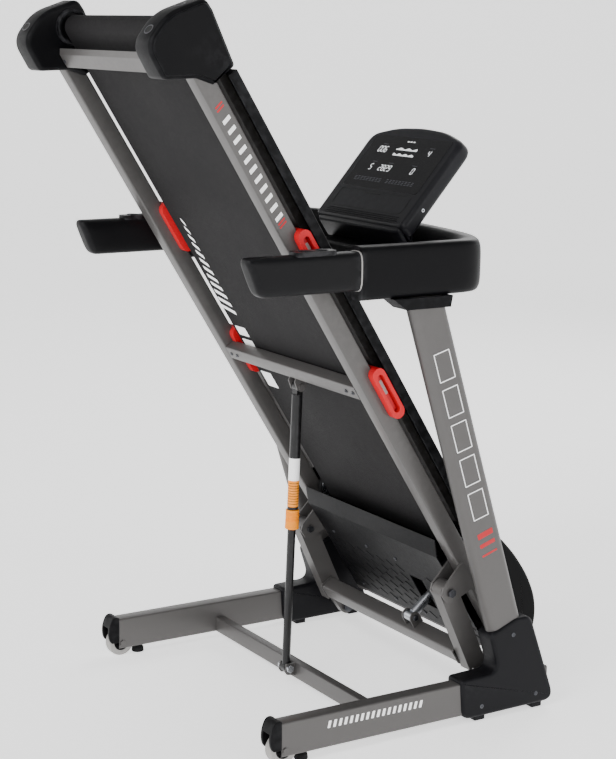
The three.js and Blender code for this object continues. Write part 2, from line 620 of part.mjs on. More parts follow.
// The hood over the motor bay, one moulded shell open below.
function motorHood() {
  const outer = [[-384, 95], [-300, 130], [-222, 147], [-150, 151], [-90, 143], [-46, 122], [-14, 92], [4, 60], [6, 46]];
  const inner = [[-380, 90.5], [-299, 126.5], [-222, 143.5], [-150, 147.5], [-92, 139.6], [-49, 119.3], [-17, 90], [0.8, 58.5], [2, 46]];
  const sheet = alongX(outline([...outer, ...[...inner].reverse()]), -332, 332);
  const wallShape = outline([...outer, [-384, 46]]);
  const walls = SIDES.map(([, side]) => alongX(wallShape, ...mirrored(side, 329, 332)));
  return join(sheet, ...walls);
}

function powerPanel() {
  const plate = block(-245, -150, -1.7, 2.5, 4, 36);
  const inlet = block(-236, -206, -1, 4, 9, 31);
  const socket = block(-232, -210, 0.5, 6, 13, 27);
  const well = block(-191, -165, -3, 4, 11, 29);
  return cut(join(plate, inlet), socket, well);
}

const powerRocker = () => alongX(outline([[0.5, 12], [0.5, 28], [6.5, 28], [4.5, 20], [4, 12]]), -190, -166);

// ---------------------------------------------------------------- incline actuator
// The screw's line runs from the upper pin, in the motor bay, to the lug on the lift frame.
function actuatorLine() {
  const { top, lug } = ACTUATOR;
  const [dy, dn] = [top.s - lug.s, lug.n - top.n];
  return { length: Math.hypot(dy, dn), angle: Math.atan2(dn, dy) };
}

function alongActuator(geometry) {
  const { angle } = actuatorLine();
  return geometry.rotateX(angle + Math.PI / 2).translate(ACTUATOR.x, -ACTUATOR.top.s, ACTUATOR.top.n);
}

// Drawn hanging straight down from the upper pin at the origin, then turned into place.
function actuatorBody() {
  const bore = discZ(12.4, -112, -16, 0, 0, 20);
  const tube = discZ(17, -110, -10, 0, 0, 24);
  const gearbox = block(-20, 20, -22, 22, -44, 12);
  const motor = discX(20, 18, 92, 0, -20, 24);
  return alongActuator(cut(join(tube, gearbox, motor), bore));
}

function actuatorRod() {
  const { length } = actuatorLine();
  const rod = discZ(12, -length + 10, -20, 0, 0, 20);
  const eye = discX(13, -14, 14, 0, -length, 20);
  const bore = discX(6.3, -15, 15, 0, -length, 16);
  return alongActuator(cut(join(rod, eye), bore));
}

// ---------------------------------------------------------------- folding strut
function strutHead() {
  const angle = rad(DECK_ANGLE);
  const { s, n } = STRUT_TOP;
  return {
    y: DECK_Y - s * Math.cos(angle) + n * Math.sin(angle),
    z: DECK_Z + s * Math.sin(angle) + n * Math.cos(angle),
  };
}

function strutLine() {
  const head = strutHead();
  const [dy, dz] = [head.y - STRUT_FOOT.y, head.z - STRUT_FOOT.z];
  return { length: Math.hypot(dy, dz), lean: Math.atan2(dz, dy) - Math.PI / 2 };
}

// Strut pieces are drawn standing on the foot pin at the origin.
function alongStrut(geometry) {
  return geometry.rotateX(strutLine().lean).translate(0, STRUT_FOOT.y, STRUT_FOOT.z);
}

const strutPin = () =>
  join(discX(6, -20, 20, 0, 0, 16), discX(10, -24, -16 - GAP, 0, 0, 6), discX(10, 16 + GAP, 24, 0, 0, 6))
    .translate(0, STRUT_FOOT.y, STRUT_FOOT.z);

function strutLowerTube() {
  const eye = discX(12, -11.6, 11.6, 0, 0, 20);
  const tube = discZ(STRUT.innerRadius, 8, STRUT.innerLength, 0, 0, 20);
  return alongStrut(cut(join(eye, tube), discX(6.3, -13, 13, 0, 0, 16)));
}

function strutUpperTube() {
  const { length } = strutLine();
  const bottom = length - STRUT.headGap - STRUT.outerLength;
  const tube = discZ(STRUT.outerRadius, bottom, length - STRUT.headGap, 0, 0, 20);
  const tongue = block(-11, 11, -8, 8, length - STRUT.headGap - 2, length + 2);
  const head = discX(11, -11, 11, 0, length, 20);
  const bore = discZ(STRUT.innerRadius + 0.4, bottom - 1, length - STRUT.headGap - 4, 0, 0, 20);
  return alongStrut(cut(join(tube, tongue, head), bore));
}

// The release sleeve rides on the bottom end of the outer tube.
function releaseSleeve() {
  const { length } = strutLine();
  const bottom = length - STRUT.headGap - STRUT.outerLength;
  const sleeve = discZ(17, bottom - 4, bottom + 44, 0, 0, 20);
  const bore = discZ(STRUT.outerRadius + 0.4, bottom - 5, bottom + 45, 0, 0, 20);
  return alongStrut(cut(sleeve, bore));
}

// ---------------------------------------------------------------- assembly
function buildBase(group) {
  for (const [name, side] of SIDES) {
    add(group, `base_rail_${name}`, railTube(side), FRAME_PAINT);
    add(group, `rail_end_cap_${name}`, railEndCap(side), BLACK_PLASTIC);
    add(group, `transport_wheel_${name}`, transportWheel(side), GREY_TREAD);
    add(group, `rear_foot_${name}`, rearFoot(side), RUBBER);
    add(group, `upright_${name}`, upright(side), FRAME_PAINT);
    add(group, `base_cover_${name}`, baseCover(side), BLACK_PLASTIC);
    add(group, `collar_${name}`, collar(side), BLACK_PLASTIC);
    add(group, `grip_${name}`, grip(side), RUBBER);
    add(group, `rocker_key_${name}`, rockerKey(side), BLACK_PLASTIC);
    add(group, `fold_pivot_bolt_${name}`, foldPivotBolt(side), DARK_STEEL);
  }
  add(group, 'rear_crossbar', rearCrossbar(), FRAME_PAINT);
  add(group, 'front_crossbar', frontCrossbar(), FRAME_PAINT);
  add(group, 'handle_frame', handleFrame(), BLACK_PLASTIC);
  add(group, 'console_housing', consoleHousing(), BLACK_PLASTIC);
  add(group, 'console_display', displayPanel(), GLOSS_BLACK);
  add(group, 'strut_pin', strutPin(), BRIGHT_STEEL);
  add(group, 'strut_lower_tube', strutLowerTube(), BLACK_PAINT);
  add(group, 'strut_upper_tube', strutUpperTube(), BLACK_PAINT);
  add(group, 'release_sleeve', releaseSleeve(), ORANGE_PLASTIC);
}

function buildDeck(group) {
  for (const [name, side] of SIDES) {
    add(group, `lift_arm_${name}`, liftArm(side), FRAME_PAINT);
    add(group, `lift_pivot_bolt_${name}`, liftPivotBolt(side), DARK_STEEL);
    add(group, `deck_tube_${name}`, deckTube(side), FRAME_PAINT);
    add(group, `foot_rail_${name}`, footRail(side), BLACK_PLASTIC);
    add(group, `deck_end_cap_${name}`, endCap(side), BLACK_PLASTIC);
    DAMPER_S.forEach((s, index) => {
      add(group, `damper_${name}_${['front', 'rear'][index]}`, damper(side, s), RED_RUBBER);
    });
  }
  add(group, 'lift_cross_tube', liftCrossTube(), FRAME_PAINT);
  add(group, 'deck_mid_crossbar', midCrossbar(), FRAME_PAINT);
  add(group, 'deck_front_crossbar', frontDeckBar(), FRAME_PAINT);
  add(group, 'deck_rear_plate', rearDeckPlate(), FRAME_PAINT);
  add(group, 'deck_board', deckBoard(), WOOD_BOARD);
  add(group, 'running_belt', runningBelt(), BELT_RUBBER);
  add(group, 'rear_roller', roller(REAR_ROLLER_S, false), BRIGHT_STEEL);
  add(group, 'front_roller', roller(FRONT_ROLLER_S, true), BRIGHT_STEEL);
  add(group, 'drive_motor', driveMotor(), BLACK_PAINT);
  add(group, 'motor_pulley', motorPulley(), BRIGHT_STEEL);
  add(group, 'drive_belt', driveBelt(), RUBBER);
  add(group, 'motor_pan', motorPan(), BLACK_PLASTIC);
  add(group, 'motor_hood', motorHood(), BLACK_PLASTIC);
  add(group, 'power_panel', powerPanel(), BLACK_PLASTIC);
  add(group, 'power_rocker', powerRocker(), RED_RUBBER);
  add(group, 'actuator_body', actuatorBody(), DARK_STEEL);
  add(group, 'actuator_rod', actuatorRod(), BRIGHT_STEEL);
}

const treadmill = new THREE.Group();
treadmill.name = 'treadmill';
treadmill.position.set(0, -ORIGIN_Y, 0);
buildBase(treadmill);
const deck = deckGroup();
buildDeck(deck);
treadmill.add(deck);

export default treadmill;
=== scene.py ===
"""Looks of a folding motorised treadmill, stored with its deck standing up.

Metres, +Z up, +X to the runner's right, +Y towards the console. Every piece rides on a body of the
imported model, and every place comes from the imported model's boxes and joints.
"""
import json
import logging
import math
from collections.abc import Iterable, Sequence
from dataclasses import dataclass
from enum import Enum
from typing import Any

import bmesh
import bpy
import numpy as np
from mathutils import Matrix, Vector


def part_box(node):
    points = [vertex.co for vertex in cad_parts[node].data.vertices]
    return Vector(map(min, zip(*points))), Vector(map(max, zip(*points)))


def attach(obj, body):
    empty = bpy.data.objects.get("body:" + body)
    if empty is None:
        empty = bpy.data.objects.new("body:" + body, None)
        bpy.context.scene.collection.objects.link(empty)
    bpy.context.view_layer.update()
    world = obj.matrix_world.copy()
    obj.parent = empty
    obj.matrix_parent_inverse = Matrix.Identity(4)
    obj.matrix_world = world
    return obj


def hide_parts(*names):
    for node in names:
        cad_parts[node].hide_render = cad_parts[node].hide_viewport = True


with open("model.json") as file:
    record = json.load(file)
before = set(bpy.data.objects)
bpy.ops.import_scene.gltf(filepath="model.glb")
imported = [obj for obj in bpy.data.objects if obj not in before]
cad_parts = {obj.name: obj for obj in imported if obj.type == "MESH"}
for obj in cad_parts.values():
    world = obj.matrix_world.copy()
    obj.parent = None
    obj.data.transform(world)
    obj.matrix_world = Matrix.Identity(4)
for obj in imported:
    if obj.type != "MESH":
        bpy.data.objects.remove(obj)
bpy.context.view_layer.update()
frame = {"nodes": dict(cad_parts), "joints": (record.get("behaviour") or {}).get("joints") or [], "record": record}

LOG = logging.getLogger("treadmill")
SIDES = {"right": 1, "left": -1}
Array = np.ndarray


# ------------------------------------------------------------------------------------ places
@dataclass(frozen=True)
class Basis:
    """A place and three directions in which a flat outline and its depth are laid out."""

    origin: Array
    across: Array
    along: Array
    depth: Array

    def place(self, a: Array | float, b: Array | float, d: Array | float) -> Array:
        """Puts local coordinates in the part's frame: origin + a across + b along + d depth.

        Args:
            a: Distances across, of any shape.
            b: Distances along, of the same shape or a single number.
            d: Distances in depth, of the same shape or a single number.

        Returns:
            Points with one more axis of length 3.
        """
        a, b, d = np.broadcast_arrays(a, b, d)
        parts = (a[..., None] * self.across, b[..., None] * self.along, d[..., None] * self.depth)
        return self.origin + parts[0] + parts[1] + parts[2]


X, Y, Z = np.eye(3)
ORIGIN = np.zeros(3)
SIDE_ON = Basis(ORIGIN, Y, Z, X)       # outlines in (y, z), depth across the machine
PLAN = Basis(ORIGIN, X, Y, Z)          # outlines in (x, y), depth upwards


def joint_place(name: str) -> Array:
    """The point that a joint turns or slides at, in the part's frame."""
    row = next(j for j in frame["joints"] if j["name"] == name)
    return np.array(row["pos_m"], dtype=float)


def corner_boxes(node: str) -> tuple[Array, Array]:
    """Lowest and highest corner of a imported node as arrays."""
    low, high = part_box(node)
    return np.array(low), np.array(high)


class DeckPlaces:
    """The deck's own directions: s back along the running surface, n out of it."""

    FRONT_ROLLER_S = 0.335
    ROLLER_N = 0.060

    def __init__(self) -> None:
        """Finds the deck's line from its two roller joints."""
        front, rear = joint_place("front_roller_spin"), joint_place("rear_roller_spin")
        self.length = float(np.linalg.norm(rear - front))
        self.back = (rear - front) / self.length
        self.out = np.cross(self.back, X)
        self.out *= np.sign(self.out[2])
        self.rear_roller_s = self.FRONT_ROLLER_S + self.length
        self.start = front - self.FRONT_ROLLER_S * self.back - self.ROLLER_N * self.out
        self.start[0] = 0.0

    def side_on(self) -> Basis:
        """Outlines in (s, n) with depth across the machine."""
        return Basis(self.start, self.back, self.out, X)

    def face(self) -> Basis:
        """Outlines in (x, s) with depth out of the running surface."""
        return Basis(self.start, X, self.back, self.out)


# ------------------------------------------------------------------------------------ shapes
CORNER_SHARE = 0.49        # a rounded corner takes at most this share of its shorter side
LEAST_REACH = 0.35         # holds the inset back at sharp corners
FACE_INSET = 1.25          # the flat face of a rimmed plate starts this many rims inside its outline


@dataclass
class Shape:
    """Points, and faces as arrays of corner numbers, of one or more closed surfaces."""

    points: Array
    faces: list[Array]

    def volume(self) -> float:
        """Signed volume: the sum over each face's fan of triangles of a . (b x c) / 6."""
        total = 0.0
        for corners in self.faces:
            p = self.points[corners]
            a, b, c = p[:, :1], p[:, 1:-1], p[:, 2:]
            total += float(np.einsum("ijk,ijk->", np.broadcast_to(a, b.shape), np.cross(b, c))) / 6
        return total

    def outward(self) -> "Shape":
        """The same surface with its faces turned to point outwards."""
        if self.volume() < 0:
            return Shape(self.points, [corners[:, ::-1] for corners in self.faces])
        return self

    def repeated(self, offsets: Array) -> "Shape":
        """Copies of the shape at several offsets.

        Args:
            offsets: Shifts, one row of three numbers for each copy.

        Returns:
            One shape that holds all the copies.
        """
        count, size = len(offsets), len(self.points)
        points = (self.points[None] + np.asarray(offsets)[:, None]).reshape(-1, 3)
        steps = np.arange(count)[:, None, None] * size
        return Shape(points, [(c[None] + steps).reshape(-1, c.shape[1]) for c in self.faces])

    def mirrored(self) -> "Shape":
        """The shape's mirror image across the machine's middle plane."""
        return Shape(self.points * (-1, 1, 1), [corners[:, ::-1] for corners in self.faces])

    def on_side(self, side: int) -> "Shape":
        """The shape for the right side as drawn, or its mirror image for the left."""
        return self if side > 0 else self.mirrored()


def together(shapes: Iterable[Shape]) -> Shape:
    """Several shapes as one, each with its faces outwards."""
    parts = [shape.outward() for shape in shapes]
    starts = np.cumsum([0] + [len(part.points) for part in parts])
    faces = [corners + start for part, start in zip(parts, starts) for corners in part.faces]
    return Shape(np.concatenate([part.points for part in parts]), faces)


def grid_faces(rows: int, columns: int, close_rows: bool = False) -> Array:
    """Four-cornered faces between neighbouring rings of points, closed round each ring.

    Args:
        rows: Number of rings.
        columns: Points in each ring.
        close_rows: True to join the last ring to the first.

    Returns:
        Corner numbers, one row of four for each face.
    """
    row = np.arange(rows if close_rows else rows - 1)[:, None]
    column = np.arange(columns)[None]
    right = (column + 1) % columns
    up = (row + 1) % rows
    corners = (row * columns + column, row * columns + right, up * columns + right, up * columns + column)
    return np.stack([np.broadcast_to(c, (len(row), columns)) for c in corners], -1).reshape(-1, 4)


def lofted(rings: Array, closed: bool = False) -> Shape:
    """A skin over rings of points, with flat ends or closed on itself.

    Args:
        rings: Points as (rings, points in a ring, 3).
        closed: True where the last ring runs into the first.

    Returns:
        The closed shape.
    """
    rows, columns = rings.shape[:2]
    faces = [grid_faces(rows, columns, closed)]
    if not closed:
        faces.append(np.arange(columns)[None, ::-1])
        faces.append((np.arange(columns) + (rows - 1) * columns)[None])
    return Shape(rings.reshape(-1, 3), faces).outward()


def softened(corners: Sequence[Sequence[float]], radius: float | Sequence[float], steps: int = 6) -> Array:
    """A closed outline with rounded corners.

    Each corner is replaced by the curve (1-t)^2 a + 2t(1-t) corner + t^2 b, where a and b lie on its
    two sides at the distance at which a circle of the radius would touch them.

    Args:
        corners: Corner points in order.
        radius: One radius, or one for each corner.
        steps: Stretches in each rounded corner.

    Returns:
        Points as (n, 2), in anticlockwise order.
    """
    points = np.asarray(corners, dtype=float)
    before, after = np.roll(points, 1, 0) - points, np.roll(points, -1, 0) - points
    length_before, length_after = np.linalg.norm(before, axis=1), np.linalg.norm(after, axis=1)
    before, after = before / length_before[:, None], after / length_after[:, None]
    half = np.arccos(np.clip((before * after).sum(1), -1, 1)) / 2
    reach = np.broadcast_to(radius, half.shape) / np.tan(np.maximum(half, 1e-3))
    reach = np.minimum(reach, CORNER_SHARE * np.minimum(length_before, length_after))[:, None]
    a, b = points + before * reach, points + after * reach
    t = np.linspace(0, 1, steps + 1)[None, :, None]
    curve = (1 - t) ** 2 * a[:, None] + 2 * t * (1 - t) * points[:, None] + t**2 * b[:, None]
    return anticlockwise(curve.reshape(-1, 2))


def anticlockwise(outline: Array) -> Array:
    """The outline in anticlockwise order, by the sign of its area."""
    x, y = outline.T
    area = (x * np.roll(y, -1) - np.roll(x, -1) * y).sum()
    return outline if area > 0 else outline[::-1]


def inset(outline: Array, amount: float) -> Array:
    """An outline moved inwards by one distance.

    Each point moves by amount (p + q) / (1 + p . q), where p and q are the inward directions of the
    two sides that meet there, and the divisor is never less than LEAST_REACH.

    Args:
        outline: Points as (n, 2), anticlockwise.
        amount: Distance inwards.

    Returns:
        The moved points.
    """
    side = np.roll(outline, -1, 0) - outline
    side /= np.maximum(np.linalg.norm(side, axis=1), 1e-9)[:, None]
    inward = np.stack([-side[:, 1], side[:, 0]], 1)
    previous = np.roll(inward, 1, 0)
    reach = np.maximum(1 + (inward * previous).sum(1), LEAST_REACH)[:, None]
    return outline + amount * (inward + previous) / reach


def slab(outline: Array, low: float, high: float, basis: Basis, rim: float = 0.0, steps: int = 4) -> Shape:
    """A flat plate of an outline's shape with quarter-round rims.

    A rim's ring at angle t is inset by rim (1 - sin t) and sits rim (1 - cos t) in from the face.

    Args:
        outline: Points as (n, 2).
        low: Where the plate starts in depth.
        high: Where it ends.
        basis: How the outline is laid out.
        rim: Radius of the rounded rims, or 0 for square ones.
        steps: Stretches in each rim.

    Returns:
        The closed plate.
    """
    line = anticlockwise(np.asarray(outline, dtype=float))
    if rim <= 0:
        rings = [(line, low), (line, high)]
    else:
        turns = np.linspace(0, math.pi / 2, steps + 1)
        half = [(inset(line, rim * FACE_INSET), 0.0)]
        half += [(inset(line, rim * (1 - math.sin(t))), rim * (1 - math.cos(t))) for t in turns]
        rings = [(ring, low + deep) for ring, deep in half]
        rings += [(ring, high - deep) for ring, deep in reversed(half)]
    return lofted(np.stack([basis.place(ring[:, 0], ring[:, 1], deep) for ring, deep in rings]))


def hollow_slab(outer: Array, inner: Array, low: float, high: float, basis: Basis) -> Shape:
    """A plate between two outlines of equally many points, such as a ring or a printed outline."""
    loops = [(outer, low), (outer, high), (inner, high), (inner, low)]
    return lofted(np.stack([basis.place(r[:, 0], r[:, 1], d) for r, d in loops]), closed=True)


def brick(low: Sequence[float], high: Sequence[float], basis: Basis, radius: float, rim: float) -> Shape:
    """A block with rounded corners and rims.

    Args:
        low: Lowest a, b and depth.
        high: Highest a, b and depth.
        basis: How it is laid out.
        radius: Radius of the upright corners.
        rim: Radius of the rims.

    Returns:
        The closed block.
    """
    outline = rectangle(low[0], high[0], low[1], high[1], radius)
    return slab(outline, low[2], high[2], basis, rim)


def rectangle(a0: float, a1: float, b0: float, b1: float, radius: float) -> Array:
    """A rectangle a0..a1 by b0..b1 with rounded corners."""
    return softened([(a0, b0), (a1, b0), (a1, b1), (a0, b1)], radius)


def turned(profile: Sequence[Sequence[float]], basis: Basis, sides: int = 40, closed: bool = False) -> Shape:
    """A profile turned round the depth direction: (r cos t, r sin t, h) for each profile point.

    Args:
        profile: Pairs of radius and height.
        basis: Its depth direction is the axis and its origin lies on it.
        sides: Points round the axis.
        closed: True for a ring, whose profile runs back to its start.

    Returns:
        The closed shape.
    """
    radius, height = np.asarray(profile, dtype=float).T[:, :, None]
    turn = np.linspace(0, 2 * math.pi, sides, endpoint=False)[None]
    return lofted(basis.place(radius * np.cos(turn), radius * np.sin(turn), height + 0 * turn), closed)


def superellipse(half_a: float, half_b: float, power: float, count: int = 40) -> Array:
    """A rounded box outline: |a / half_a|^power + |b / half_b|^power = 1."""
    turn = np.linspace(0, 2 * math.pi, count, endpoint=False)
    c, s = np.cos(turn), np.sin(turn)
    bend = 2 / power
    return np.stack([half_a * np.sign(c) * np.abs(c) ** bend, half_b * np.sign(s) * np.abs(s) ** bend], 1)


def smoothed(line: Array, passes: int) -> Array:
    """An open line with its bends eased: each inner point becomes (before + 2 point + after) / 4."""
    for _ in range(passes):
        inner = (line[:-2] + 2 * line[1:-1] + line[2:]) / 4
        line = np.concatenate([line[:1], inner, line[-1:]])
    return line


def evenly(line: Array, count: int) -> Array:
    """An open line resampled at equal distances along it."""
    travelled = np.concatenate([[0], np.cumsum(np.linalg.norm(np.diff(line, axis=0), axis=1))])
    wanted = np.linspace(0, travelled[-1], count)
    return np.stack([np.interp(wanted, travelled, line[:, k]) for k in range(line.shape[1])], 1)


def socket_screw(radius: float, height: float, basis: Basis) -> Shape:
    """A cap screw with a round hollow in its head, turned from one profile."""
    middle, socket = 0.0004, radius * 0.5
    shoulder, socket_floor = height * 0.75, height * 0.35
    profile = [(middle, 0), (radius, 0), (radius, shoulder), (radius * 0.86, height),
               (socket, height), (socket * 0.9, socket_floor), (middle, socket_floor)]
    return turned(profile, basis, 24)


# ---------------------------------------------------------------------------------- finishes
class Grain(Enum):
    """The fine relief of a surface."""

    MOULDED = "moulded"
    PAINTED = "painted"
    WOVEN = "woven"
    BRUSHED = "brushed"
    PRINTED = "printed"
    FIBRE = "fibre"


@dataclass(frozen=True)
class Finish:
    """One surface finish.

    Args:
        name: The finish, in a maker's words.
        slot: The record's material slot that it belongs to, or None for print and labels. Not used.
        colour: Red, green and blue as they are seen, 0 to 255.
        roughness: 0 for a mirror, 1 for chalk.
        grain: Kind of fine relief.
        metallic: 1 for bare metal.
        coat: Weight of a clear gloss coat.
        relief: Depth of the fine relief in metres.
        pitch: Size of one grain in metres.
        mottle: How far the tone wanders, as a share of the colour.
        wear: How much the edges are rubbed, 0 to 1.
        worn: Colour of a rubbed edge.
        dust: How much dust lies on what faces up, 0 to 1.
        glow: Strength of a lit mark's own light, or of a painted glow on print.
        shine: How strongly it reflects, 0.5 for common plastic.
    """

    name: str
    slot: str | None
    colour: tuple[int, int, int]
    roughness: float
    grain: Grain = Grain.MOULDED
    metallic: float = 0.0
    coat: float = 0.0
    relief: float = 0.00006
    pitch: float = 0.0011
    mottle: float = 0.10
    wear: float = 0.15
    worn: tuple[int, int, int] = (120, 120, 124)
    dust: float = 0.10
    glow: float = 0.0
    shine: float = 0.35


FRAME_GREY = Finish("frame_grey", "frame_paint", (86, 84, 83), 0.42, Grain.PAINTED, metallic=0.35, coat=0.08,
                    relief=0.00004, pitch=0.0016, mottle=0.04, wear=0.06, worn=(130, 129, 127), dust=0.02,
                    shine=0.4)
BLACK_SHELL = Finish("black_shell", "black_plastic", (10, 10, 12), 0.42, dust=0.01, shine=0.09)
COVER_SHELL = Finish("cover_shell", "black_plastic", (15, 15, 18), 0.42, relief=0.00008, dust=0.01,
                     shine=0.12)
CONSOLE_SHELL = Finish("console_shell", "black_plastic", (22, 22, 26), 0.40, dust=0.02, shine=0.2)
HOOD_SHELL = Finish("hood_shell", "black_plastic", (6, 6, 7), 0.40, mottle=0.03, wear=0.0, dust=0.0,
                    shine=0.08)
PAN_SHELL = Finish("pan_shell", "black_plastic", (10, 10, 12), 0.46, relief=0.0001, mottle=0.12, wear=0.0,
                   dust=0.0, shine=0.14)
GRIP_FOAM = Finish("grip_foam", "soft_grip", (11, 11, 13), 0.44, relief=0.00009, pitch=0.0015, dust=0.01,
                   shine=0.14)
SOLID_RUBBER = Finish("solid_rubber", "rubber", (18, 18, 19), 0.78, relief=0.0001, dust=0.05, shine=0.15)
BELT_CLOTH = Finish("belt_cloth", "belt", (27, 26, 27), 0.70, Grain.WOVEN, relief=0.00012, pitch=0.0026,
                    mottle=0.07, wear=0.0, dust=0.0, shine=0.12)
BOARD_WOOD = Finish("board_wood", "board", (24, 21, 19), 0.6, Grain.FIBRE, pitch=0.004)
STRUT_BLACK = Finish("strut_black", "black_paint", (20, 20, 21), 0.32, Grain.PAINTED, metallic=0.1, coat=0.1,
                     mottle=0.06, dust=0.02, shine=0.3)
CUSHION_RED = Finish("cushion_red", "red_rubber", (208, 18, 30), 0.44, mottle=0.07, wear=0.03, dust=0.02,
                     shine=0.3)
SLEEVE_ORANGE = Finish("sleeve_orange", "orange_plastic", (255, 150, 14), 0.42, mottle=0.05, wear=0.1,
                       worn=(255, 214, 150), dust=0.0, shine=0.2)
TREAD_GREY = Finish("tread_grey", "grey_tread", (158, 156, 153), 0.62, relief=0.0001, dust=0.2)
# Lighter grey of the end caps' scoop rims: a painted highlight on the rims.
SCOOP_RIM_HIGHLIGHT = Finish("worn_plastic", "black_plastic", (70, 70, 74), 0.35, dust=0.0, shine=0.4)
STEEL_BRIGHT = Finish("steel_bright", "bright_steel", (190, 193, 198), 0.26, Grain.BRUSHED, metallic=1.0,
                      pitch=0.0009, mottle=0.08, wear=0.1)
STEEL_DARK = Finish("steel_dark", "dark_steel", (66, 67, 71), 0.34, Grain.BRUSHED, metallic=0.85,
                    pitch=0.0008, wear=0.35, worn=(150, 152, 158))
SCREEN_GLASS = Finish("screen_glass", "screen", (13, 13, 16), 0.20, Grain.PRINTED, relief=0.0, mottle=0.03,
                      wear=0.0, dust=0.03, shine=0.25)
# White print with a faint glow: painted brightness, since print gives no light of its own.
WHITE_PRINT_PAINTED_GLOW = Finish("print_white", None, (255, 255, 255), 0.45, Grain.PRINTED, mottle=0.02, wear=0.05,
                     dust=0.0, glow=0.25)
PRINT_RED = Finish("print_red", None, (190, 14, 30), 0.42, Grain.PRINTED, mottle=0.04, wear=0.05, dust=0.0)
PRINT_DIM = Finish("print_dim", None, (70, 71, 77), 0.5, Grain.PRINTED, mottle=0.04, wear=0.0, dust=0.0)
# Black print, also laid as painted shade in the end caps' scoop hollows and the console's finger slot.
BLACK_PRINT_AND_SHADE = Finish("print_black", None, (12, 12, 12), 0.5, Grain.PRINTED, wear=0.0, dust=0.0)
LIT_MARK = Finish("lit_mark", None, (236, 238, 240), 0.4, Grain.PRINTED, wear=0.0, dust=0.0, glow=0.9)


def linear(colour: Sequence[float]) -> tuple[float, float, float, float]:
    """A seen colour, 0 to 255, as linear light with full cover."""
    c = np.asarray(colour, dtype=float) / 255
    light = np.where(c <= 0.04045, c / 12.92, ((c + 0.055) / 1.055) ** 2.4)
    return (*map(float, light), 1.0)


class NodeSheet:
    """Adds nodes to one node tree and wires them."""

    def __init__(self, tree: bpy.types.NodeTree) -> None:
        """Keeps the tree that the nodes go in."""
        self.tree = tree

    def node(self, kind: str, inputs: dict[Any, Any] | None = None, **settings: Any) -> bpy.types.Node:
        """Adds a node.

        Args:
            kind: The node's type name without its ShaderNode prefix.
            inputs: Values or sockets for its inputs, by name or number.
            **settings: Other properties of the node.

        Returns:
            The node.
        """
        made = self.tree.nodes.new("ShaderNode" + kind)
        for key, value in settings.items():
            setattr(made, key, value)
        for key, value in (inputs or {}).items():
            if isinstance(value, bpy.types.NodeSocket):
                self.tree.links.new(value, made.inputs[key])
            else:
                made.inputs[key].default_value = value
        return made

    def maths(self, operation: str, *values: Any) -> bpy.types.NodeSocket:
        """One step of arithmetic on values or sockets."""
        return self.node("Math", dict(enumerate(values)), operation=operation).outputs[0]

    def stretch(self, value: Any, low: float, high: float, to_low: float, to_high: float
                ) -> bpy.types.NodeSocket:
        """A value's range low..high mapped to to_low..to_high and held inside it."""
        return self.node("MapRange", {0: value, 1: low, 2: high, 3: to_low, 4: to_high}).outputs[0]

    def mix(self, factor: Any, a: Any, b: Any) -> bpy.types.NodeSocket:
        """A blend of two colours."""
        return self.node("Mix", {"Factor": factor, 6: a, 7: b}, data_type="RGBA").outputs[2]


